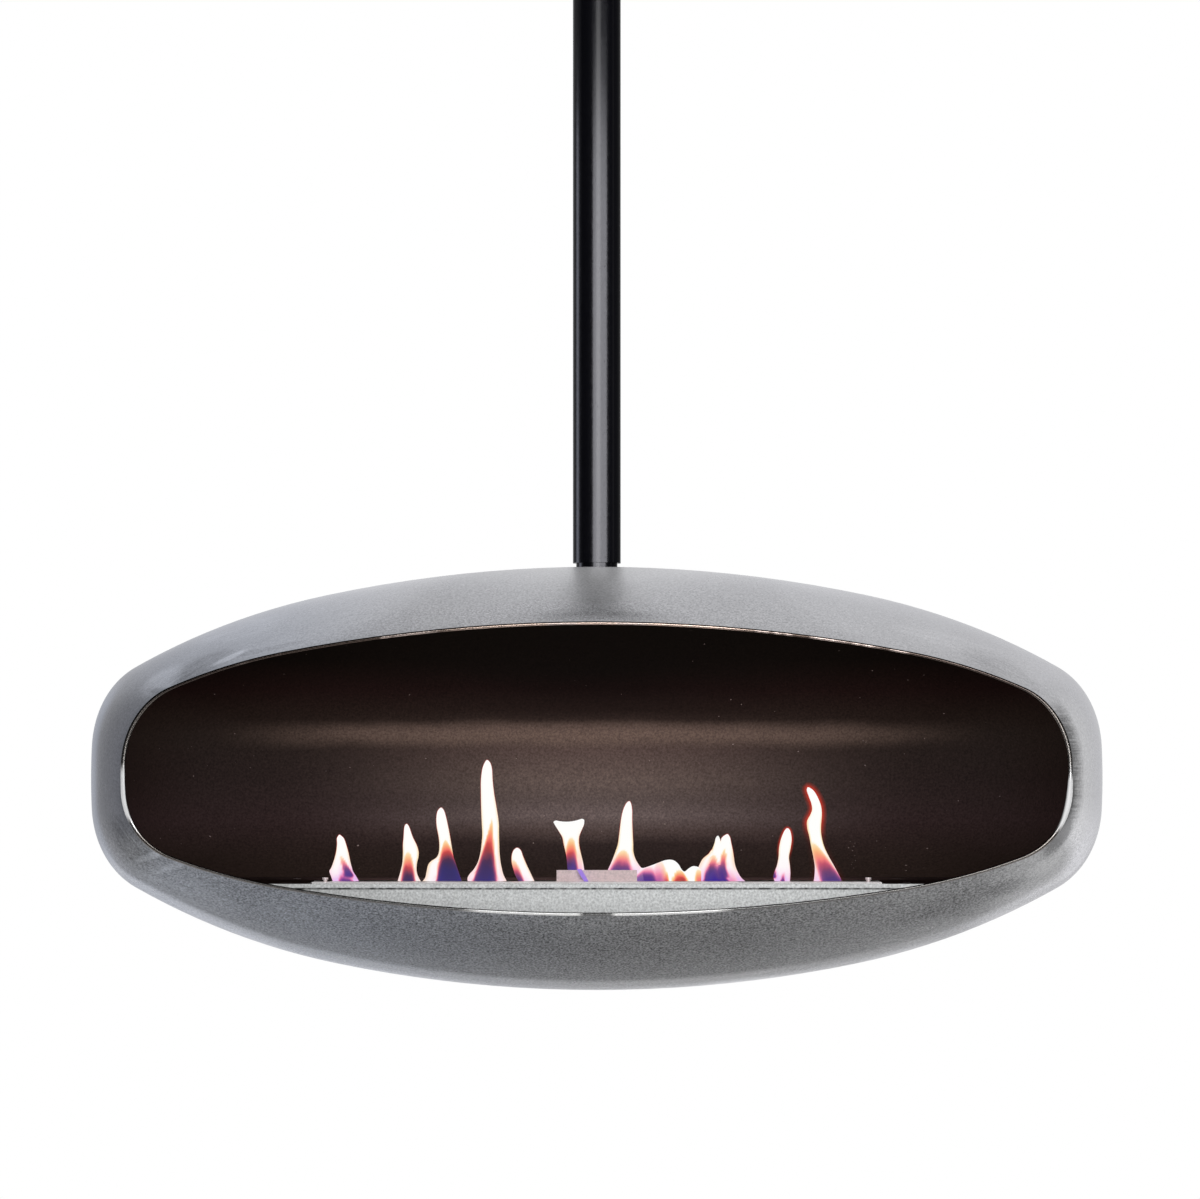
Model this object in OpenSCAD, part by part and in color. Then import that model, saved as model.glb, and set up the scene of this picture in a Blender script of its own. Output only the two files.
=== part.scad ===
/* [Firebox body] */
// Width of the body
body_w = 1200; // [1120:10:1300]
// Height of the body
body_h = 512; // [500:2:560]
// Depth from the opening's plane to the back
body_d = 600; // [560:5:640]
// Depth from the widest section to the back
back_d = 341; // [330:1:360]
// Share of the front's full curve that is left in front of the widest section
mouth_ratio = 0.76; // [0.72:0.01:0.8]
// Thickness of the body's steel sheet
steel_t = 3; // [2:0.5:4]
// Exponent of the body's outline seen from above, higher is squarer
plan_n = 4.2; // [3.6:0.1:5]
// Exponent of the body's outline seen from the side
side_n = 2.05; // [1.9:0.05:2.3]
// How far the opening is raised above the body's middle
mouth_rise = 12; // [0:1:18]

/* [Outline of the widest section] */
// Radius of the arc across the top
section_top_r = 1525; // [1400:5:1650]
// Radius of the arc at the shoulder
section_shoulder_r = 800; // [700:5:900]
// Radius of the arc at the corner
section_corner_r = 90; // [70:1:120]
// Radius of the arc down the side
section_side_r = 695; // [600:5:800]
// Sweep of the top arc, in degrees from the middle
section_top_a = 11.8; // [10:0.1:14]
// Sweep of the shoulder arc
section_shoulder_a = 18.6; // [15:0.1:21]
// Sweep of the side arc, from the middle
section_side_a = 5.3; // [3:0.1:8]

/* [Outline of the opening] */
// Radius of the arc across the opening's top
mouth_top_r = 2200; // [2000:10:2500]
// Radius of the arc at the opening's shoulder
mouth_shoulder_r = 705; // [650:5:850]
// Radius of the arc at the opening's corner
mouth_corner_r = 87; // [75:1:110]
// Radius of the arc down the opening's side
mouth_side_r = 450; // [250:5:600]
// Sweep of the opening's top arc, in degrees from the middle
mouth_top_a = 9.6; // [7:0.1:11]
// Sweep of the opening's shoulder arc
mouth_shoulder_a = 11.2; // [9:0.1:14]
// Sweep of the opening's side arc, from the middle
mouth_side_a = 1.8; // [1:0.1:5]

/* [Pole] */
// Outside diameter of the pole
pole_od = 58; // [56:0.5:62]
// Wall of the pole
pole_wall = 3; // [2.5:0.1:4]
// Length of the pole
pole_len = 1000; // [600:10:3000]

/* [Ceiling fixing] */
// Diameter of the ceiling plate
plate_d = 180; // [170:1:190]
// Thickness of the ceiling plate
plate_t = 8; // [6:1:10]
// Pitch circle of the ceiling bolts
bolt_pcd = 140; // [120:1:150]
// Number of ceiling bolts
bolt_count = 4; // [3:1:6]
// Diameter of the ceiling bolt holes
bolt_hole_d = 11; // [9:0.5:13]
// Length of the spigot that the pole hangs on
spigot_len = 60; // [50:1:80]
// Wall of the spigot
spigot_wall = 7; // [5:0.5:9]
// Thread diameter of the screws that lock the pole
lock_screw_d = 8; // [6:1:10]
// Depth of the lock screws below the ceiling
lock_screw_drop = 32; // [26:1:38]
// Outside diameter of the ceiling cover
cover_d = 210; // [200:1:240]
// Height of the ceiling cover
cover_h = 52; // [46:1:70]
// Radius at the foot of the cover's wall
cover_edge_r = 22; // [10:1:30]
// Sheet thickness of the ceiling cover
cover_t = 1.5; // [1:0.1:2.5]
// Height of the cover's collar
collar_h = 14; // [10:1:24]
// Wall of the friction ring inside the collar
friction_ring_wall = 3; // [2:0.5:4]

/* [Swivel] */
// Diameter of the swivel stem
stem_d = 20; // [16:1:22]
// Length of the plug in the pole's lower end
plug_len = 50; // [45:1:80]
// How far the stem reaches into the plug
stem_grip = 40; // [30:1:44]
// Diameter of the thrust ring under the pole
thrust_ring_d = 50; // [46:1:54]
// Thickness of the thrust ring under the pole
thrust_ring_t = 3.5; // [2:0.5:6]
// Diameter of the steel boss in the body's crown
boss_d = 50; // [46:1:60]
// How far the boss stands above the crown
boss_proud = 1.75; // [1:0.05:4]
// Diameter of the boss's flange under the sheet
boss_flange_d = 90; // [86:1:110]
// Thickness of the boss's flange
boss_flange_t = 6; // [5:0.5:10]
// Wall of the pivot bush
bush_wall = 4; // [3:0.5:5]
// Thickness of the pivot bush's flange
bush_flange_t = 3; // [2:0.5:4]
// Diameter of the pivot bush's flange
bush_flange_d = 42; // [38:1:46]
// Diameter of the washer above the nut
nut_washer_d = 44; // [40:1:50]
// Thickness of the washer above the nut
nut_washer_t = 3; // [2:0.5:4]
// Width across the nut's flats
nut_af = 30; // [28:1:32]
// Height of the nut's hexagon
nut_h = 12; // [10:1:16]
// Height of the nut's slotted crown
nut_crown_h = 6; // [5:0.5:8]
// How far the crown is turned down from the nut's flats
nut_chamfer = 1; // [0.5:0.1:2]
// Diameter of the split pin
split_pin_d = 4; // [3:0.5:4.5]
// Inside diameter of the nut cover's cup
nut_cup_d = 62; // [58:1:66]
// Sheet thickness of the nut cover
nut_cover_t = 1.5; // [1:0.1:2]
// Thread diameter of the nut cover's screws
cup_screw_d = 4; // [3:0.5:5]

/* [Shelf] */
// Depth of the shelf's top below the body's middle
shelf_drop = 121; // [110:1:124]
// Sheet thickness of the shelf and of its skirt and rails
sheet_t = 2; // [1.5:0.1:3]
// How far the shelf's front edge lies behind the opening's plane
shelf_setback = 15; // [12:1:25]
// Height of the shelf's turned-down front lip
shelf_lip_h = 5.5; // [5:0.5:10]
// How far behind the pole's axis the shelf ends
shelf_rear = 60; // [0:1:100]
// Width of the ledges that carry the burner
ledge_w = 18; // [14:1:24]
// How far the ledges reach under the burner
ledge_lap = 8; // [6:1:10]
// Distance of the brackets' webs from the burner's ends
bracket_gap = 18; // [14:1:24]
// Length of the brackets from front to back
bracket_len = 240; // [200:1:250]
// Width of the brackets' top flanges
bracket_flange_w = 20; // [18:1:26]
// Thread diameter of the shelf's countersunk screws
shelf_screw_d = 5; // [4:0.5:6]
// Length of the shelf's screws
shelf_screw_len = 12; // [10:1:16]

/* [Burner] */
// Length of the fire slot
slot_len = 608; // [560:2:612]
// Width of the fire slot
slot_w = 40; // [30:1:42]
// Thickness of the burner's top plate
burner_top_t = 2; // [1.5:0.1:3]
// How far the top plate reaches past the lid's ends
burner_margin = 4; // [2:1:8]
// Width of the top plate behind the fire slot
burner_rear_w = 43; // [40:1:60]
// Distance from the shelf's front edge to the top plate
burner_front_gap = 8; // [7:1:10]
// Depth of the fuel tank below the top plate
tank_depth = 40; // [30:1:42]
// Sheet thickness of the fuel tank
tank_t = 1.5; // [1:0.1:2]
// Space between the fire slot and the tank's end walls
tank_end_gap = 2.5; // [2:0.5:4]
// Width of the tank behind the fire slot
tank_rear_w = 32; // [26:1:34]
// Depth from the top plate to the ceramic wick
wick_drop = 12; // [8:1:16]

/* [Lid] */
// How far the lid reaches past each end of the fire slot
lid_end_lap = 26; // [22:1:30]
// How far the closed lid reaches over the plate in front of the slot
lid_front_lap = 9; // [6:1:12]
// How far the closed lid reaches over the plate behind the slot
lid_rear_lap = 3; // [2:0.5:4]
// Sheet thickness of the lid and its tab
lid_t = 1.5; // [1:0.1:2]
// Gap between the open lid and the fire slot
lid_slot_gap = 3; // [2:0.5:5]
// Width of the lid's upright tab
tab_w = 94; // [80:1:110]
// Height of the lid's upright tab
tab_h = 13; // [10:1:20]
// Depth of the tab's foot on the lid
tab_foot = 10; // [8:1:16]
// Distance of the guide pins from the fire slot's ends
pin_end_gap = 12; // [10:0.5:14]
// Diameter of the guide pins
pin_d = 4.5; // [4:0.5:5]
// Diameter of the guide pins' heads
pin_head_d = 7; // [6:0.5:8]
// Thickness of the guide pins' heads
pin_head_t = 2.4; // [2:0.1:3]
// Height of the guide pins above the lid
pin_h = 5; // [4:0.5:7]
// Diameter of the nuts that hold the guide pins
pin_nut_d = 8; // [7:0.5:8.5]
// Thickness of the nuts that hold the guide pins
pin_nut_t = 2.5; // [2:0.1:4]

/* [Fits] */
// Gap between pieces that only seat on each other
seat_gap = 0.3; // [0.2:0.05:0.5]
// Radial clearance of the turned fits
fit_gap = 0.05; // [0.02:0.01:0.1]

/* [Hidden] */
$fn = 64;

// Steps along each of a quarter outline's four arcs, and rings before and behind the widest section
ARC_STEPS = [4, 5, 7, 2];
FRONT_RINGS = 8;
BACK_RINGS = 13;
RINGS = FRONT_RINGS + BACK_RINGS + 1;
LAST_RING_A = 87;
OVERCUT = 1;

// Heights, from the ceiling down
pole_top_z = -plate_t;
pole_end_z = pole_top_z - pole_len;
boss_top_z = pole_end_z - thrust_ring_t - fit_gap;
crown_z = boss_top_z - boss_proud;
mid_z = crown_z - body_h / 2;
shelf_z = mid_z - shelf_drop;

// Places along Y, from the pole's axis
front_d = body_d - back_d;
shelf_front_y = -front_d + shelf_setback;
skirt_y = shelf_front_y + sheet_t;
burner_front_y = shelf_front_y + burner_front_gap;
lid_front_y = burner_front_y + burner_margin;
lid_rear_y = lid_front_y + lid_front_lap + slot_w + lid_rear_lap;
slot_front_y = lid_rear_y + lid_slot_gap;
slot_rear_y = slot_front_y + slot_w;
burner_rear_y = slot_rear_y + burner_rear_w;
tank_front_y = slot_front_y - tank_end_gap - tank_t;
tank_rear_y = slot_rear_y + tank_rear_w;
pin_y = (lid_front_y + lid_rear_y) / 2;
lid_travel = lid_slot_gap + slot_w + lid_rear_lap;

// Half lengths along X
lid_half = slot_len / 2 + lid_end_lap;
burner_half = lid_half + burner_margin;
tank_half = slot_len / 2 + tank_end_gap + tank_t;
pin_x = slot_len / 2 + pin_end_gap;
bracket_x = burner_half + bracket_gap;

// ---- The body's form ----
section_r = [section_top_r, section_shoulder_r, section_corner_r, section_side_r];
section_a = [section_top_a, section_shoulder_a, section_side_a];
mouth_r = [mouth_top_r, mouth_shoulder_r, mouth_corner_r, mouth_side_r];
mouth_a = [mouth_top_a, mouth_shoulder_a, mouth_side_a];

function blend(a, b, s) = a + (b - a) * s;
function smooth(t) = t * t * (3 - 2 * t);
function oval(v, n) = pow(1 - pow(abs(v), n), 1 / n);

// The outline's headings where its arcs meet, from flat across the top to upright at the side
function headings(a) = [0, a[0], a[0] + a[1], 90 - a[2], 90];
function arc_step(r, from, to) = r * [sin(to) - sin(from), cos(to) - cos(from)];
function arc_start(r, h, i) =
    i == 0 ? [0, 0] : arc_start(r, h, i - 1) + arc_step(r[i - 1], h[i - 1], h[i]);
function arc_points(r, h, i) =
    [for (k = [0:ARC_STEPS[i] - 1])
        arc_start(r, h, i) + arc_step(r[i], h[i], blend(h[i], h[i + 1], k / ARC_STEPS[i]))];

// A quarter outline from the middle of the top to the side, scaled to one by one
function quarter(s) =
    let (r = blend(section_r, mouth_r, s), h = headings(blend(section_a, mouth_a, s)))
    let (side = arc_start(r, h, 4))
    concat([for (i = [0:3]) for (p = arc_points(r, h, i)) [p[0] / side[0], 1 - p[1] / side[1]]], [[1, 0]]);

// The section at y: how much it has of the opening's outline, its half width and half height
function mouth_share(y) = smooth(min(1, abs(y) / front_d));
function rise(y) = y < 0 ? mouth_rise * mouth_share(y) : 0;
function reach(y, inset) = y / ((y < 0 ? front_d / mouth_ratio : back_d) - inset);
function half_w(y, inset) = (body_w / 2 - inset) * oval(reach(y, inset), plan_n);
function half_h(y, inset, up) = (body_h / 2 - inset) * oval(reach(y, inset), side_n) + up * rise(y);
function half_ring(y, inset, up) =
    let (q = quarter(mouth_share(y)), last = len(q) - 1)
    [for (j = [-last:last]) [-sign(j) * half_w(y, inset) * q[abs(j)][0], y, half_h(y, inset, up) * q[abs(j)][1]]];
function ring_ys(inset) =
    let (f = front_d / mouth_ratio - inset, b = back_d - inset, start = -asin(front_d / f))
    concat([for (i = [0:FRONT_RINGS - 1]) f * sin(start * (1 - i / FRONT_RINGS))],
        [for (i = [0:BACK_RINGS]) b * sin(LAST_RING_A * i / BACK_RINGS)]);

// Inner wall below the middle: its depth at x, and its half width at a depth
function wall_drop(y, x) =
    lookup(y, [for (ring = ring_ys(steel_t))
        let (w = half_w(ring, steel_t), h = half_h(ring, steel_t, -1))
        [ring, h * lookup(abs(x) / w, quarter(mouth_share(ring)))]]);
function wall_half(y, drop) =
    lookup(y, [for (ring = ring_ys(steel_t))
        let (w = half_w(ring, steel_t), h = half_h(ring, steel_t, -1))
        [ring, w * lookup(drop / h, [for (p = quarter(mouth_share(ring))) [p[1], p[0]]])]]);
function roof_h(y) = lookup(y, [for (ring = ring_ys(steel_t)) [ring, half_h(ring, steel_t, 1)]]);

// One half of the body as a closed sheet: outer skin, inner skin, and the edges between them
function skin(inset, up) =
    concat([for (y = ring_ys(inset)) each half_ring(y, inset, up)], [[0, back_d - inset, 0]]);

module half_shell(up) {
    outer = skin(0, up);
    inner = skin(steel_t, up);
    n = (len(outer) - 1) / RINGS;
    in0 = len(outer);
    tip = RINGS * n;
    last = (RINGS - 1) * n;
    skins = [for (i = [0:RINGS - 2]) for (j = [0:n - 2])
        let (a = i * n + j, b = a + 1, c = a + n + 1, d = a + n)
        each [[a, b, c], [a, c, d], [in0 + a, in0 + c, in0 + b], [in0 + a, in0 + d, in0 + c]]];
    caps = [for (j = [0:n - 2])
        let (a = last + j)
        each [[a, a + 1, tip], [in0 + a, in0 + tip, in0 + a + 1]]];
    mouth_edge = [for (j = [0:n - 2]) each [[j, in0 + j, in0 + j + 1], [j, in0 + j + 1, j + 1]]];
    side_edges = [for (i = [0:RINGS - 1])
        let (r0 = i * n, r1 = i < RINGS - 1 ? r0 + n : tip)
        let (l0 = r0 + n - 1, l1 = i < RINGS - 1 ? l0 + n : tip)
        each [[r0, r1, in0 + r0], [r1, in0 + r1, in0 + r0], [l0, in0 + l0, l1], [l1, in0 + l0, in0 + l1]]];
    polyhedron(concat(outer, inner), concat(skins, caps, mouth_edge, side_edges), convexity = 6);
}

// ---- Shapes that repeat ----
module ring(r_out, r_in, h) {
    difference() {
        cylinder(r = r_out, h = h);
        translate([0, 0, -OVERCUT]) cylinder(r = r_in, h = h + 2 * OVERCUT);
    }
}

module box(x0, x1, y0, y1, z0, z1) {
    translate([x0, y0, z0]) cube([x1 - x0, y1 - y0, z1 - z0]);
}

// Radial places round the pole, one of them straight behind
LOCK_SCREWS = 3;
module round_pole() {
    for (i = [0:LOCK_SCREWS - 1])
        translate([0, 0, -lock_screw_drop]) rotate([0, 90, 90 + i * 360 / LOCK_SCREWS]) children();
}

module both_sides() {
    children();
    mirror([1, 0, 0]) children();
}

function round_corner(c, r, from, to, n) =
    [for (i = [0:n]) c + r * [cos(blend(from, to, i / n)), sin(blend(from, to, i / n))]];

// ---- Ceiling fixing and pole ----
pole_r = pole_od / 2;
pole_bore_r = pole_r - pole_wall;
spigot_r = pole_bore_r - seat_gap;
spigot_in_r = spigot_r - spigot_wall;

module ceiling_plate() {
    color("dimgray") translate([0, 0, -plate_t]) difference() {
        cylinder(d = plate_d, h = plate_t);
        for (i = [0:bolt_count - 1])
            rotate([0, 0, (i + 0.5) * 360 / bolt_count]) translate([bolt_pcd / 2, 0, -OVERCUT])
                cylinder(d = bolt_hole_d, h = plate_t + 2 * OVERCUT);
    }
}

module pole_spigot() {
    color("dimgray") difference() {
        translate([0, 0, pole_top_z - spigot_len]) ring(spigot_r, spigot_in_r, spigot_len);
        round_pole() cylinder(d = lock_screw_d + 2 * fit_gap, h = pole_r);
    }
}

module pole_lock_screws() {
    color("silver") round_pole() translate([0, 0, spigot_in_r + seat_gap]) difference() {
        cylinder(d = lock_screw_d, h = pole_r - spigot_in_r - 3 * seat_gap);
        translate([0, 0, pole_r - spigot_in_r - lock_screw_d / 2]) cylinder(d = lock_screw_d / 2, h = pole_r, $fn = 6);
    }
}

module pole() {
    color([0.07, 0.07, 0.08]) difference() {
        translate([0, 0, pole_end_z]) ring(pole_r, pole_bore_r, pole_len);
        round_pole() cylinder(d = lock_screw_d + 2 * fit_gap, h = pole_r + OVERCUT);
    }
}

module pole_end_plug() {
    color("dimgray") translate([0, 0, pole_end_z]) difference() {
        cylinder(r = pole_bore_r - fit_gap, h = plug_len);
        translate([0, 0, -OVERCUT]) cylinder(d = stem_d + 2 * fit_gap, h = stem_grip + seat_gap + OVERCUT);
    }
}

module ceiling_cover() {
    r = cover_d / 2;
    foot_z = -cover_h;
    ring_r = pole_r + fit_gap + friction_ring_wall + fit_gap;
    edge_c = [r - cover_edge_r, foot_z + cover_edge_r];
    outer = concat([[r, -seat_gap]], round_corner(edge_c, cover_edge_r, 0, -90, 8));
    collar = [[ring_r + cover_t, foot_z], [ring_r + cover_t, foot_z - collar_h], [ring_r, foot_z - collar_h]];
    inner = concat([[ring_r, foot_z + cover_t]], round_corner(edge_c, cover_edge_r - cover_t, -90, 0, 8));
    color([0.07, 0.07, 0.08]) rotate_extrude() polygon(concat(outer, collar, inner, [[r - cover_t, -seat_gap]]));
}

module cover_friction_ring() {
    color([0.15, 0.15, 0.15]) translate([0, 0, -cover_h - collar_h + cover_t])
        ring(pole_r + fit_gap + friction_ring_wall, pole_r + fit_gap, collar_h - cover_t);
}

// ---- Swivel ----
stem_r = stem_d / 2;
bush_r = stem_r + fit_gap + bush_wall;
boss_flange_top_z = mid_z + roof_h(boss_flange_d / 2) - seat_gap;
boss_foot_z = boss_flange_top_z - boss_flange_t;
washer_top_z = boss_foot_z - bush_flange_t;
nut_top_z = washer_top_z - fit_gap - nut_washer_t;
nut_foot_z = nut_top_z - nut_h - nut_crown_h;
split_pin_z = nut_foot_z + nut_crown_h / 2;
stem_foot_z = nut_foot_z - seat_gap;
cup_depth = boss_foot_z - stem_foot_z + 2 * nut_cover_t;
CUP_SCREWS = 3;

module swivel_stem() {
    color("silver") difference() {
        translate([0, 0, stem_foot_z]) cylinder(r = stem_r, h = pole_end_z + stem_grip - stem_foot_z);
        translate([0, 0, split_pin_z]) rotate([0, 90, 0]) cylinder(d = split_pin_d + 2 * fit_gap, h = stem_d * 2, center = true);
    }
}

module thrust_ring() {
    color([0.05, 0.05, 0.05]) translate([0, 0, pole_end_z - thrust_ring_t])
        ring(thrust_ring_d / 2, stem_r + fit_gap, thrust_ring_t);
}

module nut_washer() {
    color("silver") translate([0, 0, nut_top_z]) ring(nut_washer_d / 2, stem_r + fit_gap, nut_washer_t);
}

module castle_nut() {
    color("silver") difference() {
        union() {
            translate([0, 0, nut_top_z - nut_h]) cylinder(d = nut_af / cos(30), h = nut_h, $fn = 6);
            translate([0, 0, nut_foot_z]) cylinder(d = nut_af - 2 * nut_chamfer, h = nut_crown_h);
        }
        translate([0, 0, nut_foot_z - OVERCUT])
            cylinder(r = stem_r + fit_gap, h = nut_h + nut_crown_h + 2 * OVERCUT);
        for (a = [0:60:120])
            translate([0, 0, nut_foot_z]) rotate([0, 0, a])
                cube([nut_af * 2, split_pin_d + 2 * seat_gap, 2 * (nut_crown_h - seat_gap)], center = true);
    }
}

module split_pin() {
    color("silver") translate([0, 0, split_pin_z]) rotate([0, 90, 0])
        cylinder(d = split_pin_d, h = nut_af + split_pin_d, center = true);
}

module pivot_boss() {
    color("silver") difference() {
        union() {
            translate([0, 0, boss_foot_z]) cylinder(d = boss_d, h = boss_top_z - boss_foot_z);
            translate([0, 0, boss_foot_z]) cylinder(d = boss_flange_d, h = boss_flange_t);
        }
        translate([0, 0, boss_foot_z - OVERCUT])
            cylinder(r = bush_r + fit_gap, h = boss_top_z - boss_foot_z + 2 * OVERCUT);
        nut_cover_places() cylinder(d = cup_screw_d + 2 * fit_gap, h = boss_flange_t * 2, center = true);
    }
}

module pivot_bush() {
    color("peru") difference() {
        union() {
            translate([0, 0, boss_foot_z]) cylinder(r = bush_r, h = boss_top_z - boss_foot_z);
            translate([0, 0, washer_top_z]) cylinder(d = bush_flange_d, h = bush_flange_t);
        }
        translate([0, 0, washer_top_z - OVERCUT])
            cylinder(r = stem_r + fit_gap, h = boss_top_z - washer_top_z + 2 * OVERCUT);
    }
}

cup_r = nut_cup_d / 2;
cup_screw_r = (cup_r + nut_cover_t + boss_flange_d / 2) / 2;
module nut_cover_places() {
    for (i = [0:CUP_SCREWS - 1])
        rotate([0, 0, 90 + i * 360 / CUP_SCREWS]) translate([cup_screw_r, 0, boss_foot_z]) children();
}

module nut_cover() {
    floor_z = boss_foot_z - cup_depth;
    edge_r = 8;
    edge_c = [cup_r + nut_cover_t - edge_r, floor_z + edge_r];
    flange = [[boss_flange_d / 2, boss_foot_z], [boss_flange_d / 2, boss_foot_z - nut_cover_t], [cup_r + nut_cover_t, boss_foot_z - nut_cover_t]];
    cup = concat(round_corner(edge_c, edge_r, 0, -90, 6), [[0, floor_z], [0, floor_z + nut_cover_t]]);
    inner = concat(round_corner(edge_c, edge_r - nut_cover_t, -90, 0, 6), [[cup_r, boss_foot_z]]);
    color([0.12, 0.10, 0.10]) difference() {
        rotate_extrude() polygon(concat(flange, cup, inner));
        nut_cover_places() cylinder(d = cup_screw_d + 2 * fit_gap, h = boss_flange_t * 2, center = true);
    }
}

module nut_cover_screws() {
    color("silver") nut_cover_places() {
        translate([0, 0, -nut_cover_t - seat_gap]) cylinder(d = cup_screw_d, h = boss_flange_t);
        translate([0, 0, -nut_cover_t - cup_screw_d * 0.6]) cylinder(d = cup_screw_d * 1.75, h = cup_screw_d * 0.6);
    }
}

// ---- Body ----
module upper_shell() {
    color([0.72, 0.73, 0.74]) difference() {
        translate([0, 0, mid_z]) half_shell(1);
        translate([0, 0, boss_foot_z]) cylinder(r = boss_d / 2 + seat_gap, h = body_h);
    }
}

module lower_shell() {
    color([0.62, 0.63, 0.64]) translate([0, 0, mid_z]) mirror([0, 0, 1]) half_shell(-1);
}

// ---- Shelf ----
SHELF_STEPS = 8;
cutout_half = burner_half + seat_gap;
cutout_front_y = burner_front_y - seat_gap;
cutout_rear_y = burner_rear_y + seat_gap;
bracket_front_y = (shelf_front_y + shelf_rear - bracket_len) / 2;
shelf_screw_x = bracket_x + sheet_t + (bracket_flange_w - sheet_t) / 2;
shelf_screw_ys = [bracket_front_y + bracket_len / 6, bracket_front_y + bracket_len * 5 / 6];

module shelf_screw_places() {
    both_sides() for (y = shelf_screw_ys) translate([shelf_screw_x, y, shelf_z]) children();
}

module burner_shelf() {
    side = [for (i = [0:SHELF_STEPS])
        let (y = blend(shelf_front_y, shelf_rear, i / SHELF_STEPS))
        [wall_half(y, shelf_drop + sheet_t) - seat_gap, y]];
    lip_half = wall_half(shelf_front_y, shelf_drop + shelf_lip_h) - seat_gap;
    color([0.75, 0.76, 0.75]) difference() {
        union() {
            translate([0, 0, shelf_z - sheet_t]) linear_extrude(sheet_t)
                polygon(concat(side, [for (i = [SHELF_STEPS:-1:0]) [-side[i][0], side[i][1]]]));
            box(-lip_half, lip_half, shelf_front_y, skirt_y, shelf_z - shelf_lip_h, shelf_z);
        }
        box(-cutout_half, cutout_half, cutout_front_y, cutout_rear_y, shelf_z - sheet_t - OVERCUT, shelf_z + OVERCUT);
        shelf_screw_places() countersunk(seat_gap);
    }
}

// A countersunk screw's outline, grown by a gap
module countersunk(gap) {
    head_r = shelf_screw_d;
    head_h = shelf_screw_d / 2;
    translate([0, 0, -head_h]) cylinder(r1 = shelf_screw_d / 2 + gap, r2 = head_r + gap, h = head_h);
    translate([0, 0, -shelf_screw_len]) cylinder(d = shelf_screw_d + 2 * gap, h = shelf_screw_len);
    if (gap > 0) cylinder(r = head_r + gap, h = OVERCUT);
}

module shelf_screws() {
    color("silver") shelf_screw_places() countersunk(0);
}

SKIRT_STEPS = 16;
module front_skirt() {
    rear_y = skirt_y + sheet_t;
    top_z = shelf_z - sheet_t;
    half = wall_half(rear_y, shelf_drop + shelf_lip_h) - seat_gap;
    foot = [for (i = [-SKIRT_STEPS:SKIRT_STEPS])
        let (x = half * i / SKIRT_STEPS)
        [x, mid_z - min(wall_drop(skirt_y, x), wall_drop(rear_y, x)) + 2 * seat_gap]];
    color([0.75, 0.76, 0.75]) union() {
        translate([0, rear_y, 0]) rotate([90, 0, 0]) linear_extrude(sheet_t)
            polygon(concat([[half, top_z], [-half, top_z]], foot));
        box(-cutout_half, cutout_half, skirt_y, cutout_front_y + ledge_lap, top_z - sheet_t, top_z);
    }
}

module burner_ledges() {
    top_z = shelf_z - sheet_t;
    front_y = cutout_front_y + ledge_lap + seat_gap;
    color([0.75, 0.76, 0.75]) difference() {
        box(-cutout_half - ledge_w + ledge_lap, cutout_half + ledge_w - ledge_lap, front_y,
            cutout_rear_y + ledge_w - ledge_lap, top_z - sheet_t, top_z);
        box(-cutout_half + ledge_lap, cutout_half - ledge_lap, front_y - OVERCUT,
            cutout_rear_y - ledge_lap, top_z - sheet_t - OVERCUT, top_z + OVERCUT);
    }
}

BRACKET_STEPS = 8;
module shelf_brackets() {
    top_z = shelf_z - sheet_t;
    foot = [for (i = [0:BRACKET_STEPS])
        let (y = bracket_front_y + bracket_len * i / BRACKET_STEPS)
        [y, mid_z - wall_drop(y, bracket_x + sheet_t) + 2 * seat_gap]];
    color([0.6, 0.6, 0.6]) both_sides() difference() {
        union() {
            translate([bracket_x, 0, 0]) rotate([90, 0, 90]) linear_extrude(sheet_t)
                polygon(concat(foot, [[bracket_front_y + bracket_len, top_z], [bracket_front_y, top_z]]));
            box(bracket_x, bracket_x + bracket_flange_w, bracket_front_y, bracket_front_y + bracket_len,
                top_z - sheet_t, top_z);
        }
        for (y = shelf_screw_ys) translate([shelf_screw_x, y, shelf_z]) countersunk(seat_gap);
    }
}

// ---- Burner ----
burner_foot_z = shelf_z - burner_top_t;
tank_foot_z = burner_foot_z - tank_depth;
guide_half_w = pin_d / 2 + seat_gap;

module burner_top() {
    color([0.75, 0.76, 0.75]) difference() {
        box(-burner_half, burner_half, burner_front_y, burner_rear_y, burner_foot_z, shelf_z);
        box(-slot_len / 2, slot_len / 2, slot_front_y, slot_rear_y, burner_foot_z - OVERCUT, shelf_z + OVERCUT);
        both_sides() translate([pin_x, pin_y, burner_foot_z - OVERCUT]) {
            cylinder(r = guide_half_w, h = burner_top_t + 2 * OVERCUT);
            translate([0, lid_travel, 0]) cylinder(r = guide_half_w, h = burner_top_t + 2 * OVERCUT);
            translate([-guide_half_w, 0, 0]) cube([2 * guide_half_w, lid_travel, burner_top_t + 2 * OVERCUT]);
        }
    }
}

module burner_tank() {
    color([0.7, 0.7, 0.7]) difference() {
        box(-tank_half, tank_half, tank_front_y, tank_rear_y, tank_foot_z, burner_foot_z);
        box(-tank_half + tank_t, tank_half - tank_t, tank_front_y + tank_t, tank_rear_y - tank_t,
            tank_foot_z + tank_t, burner_foot_z + OVERCUT);
    }
}

module wick_pad() {
    inset = tank_t + seat_gap;
    color("ivory") box(-tank_half + inset, tank_half - inset, tank_front_y + inset, tank_rear_y - inset,
        tank_foot_z + tank_t, burner_foot_z - wick_drop);
}

// ---- Lid ----
lid_top_z = shelf_z + lid_t;

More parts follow.
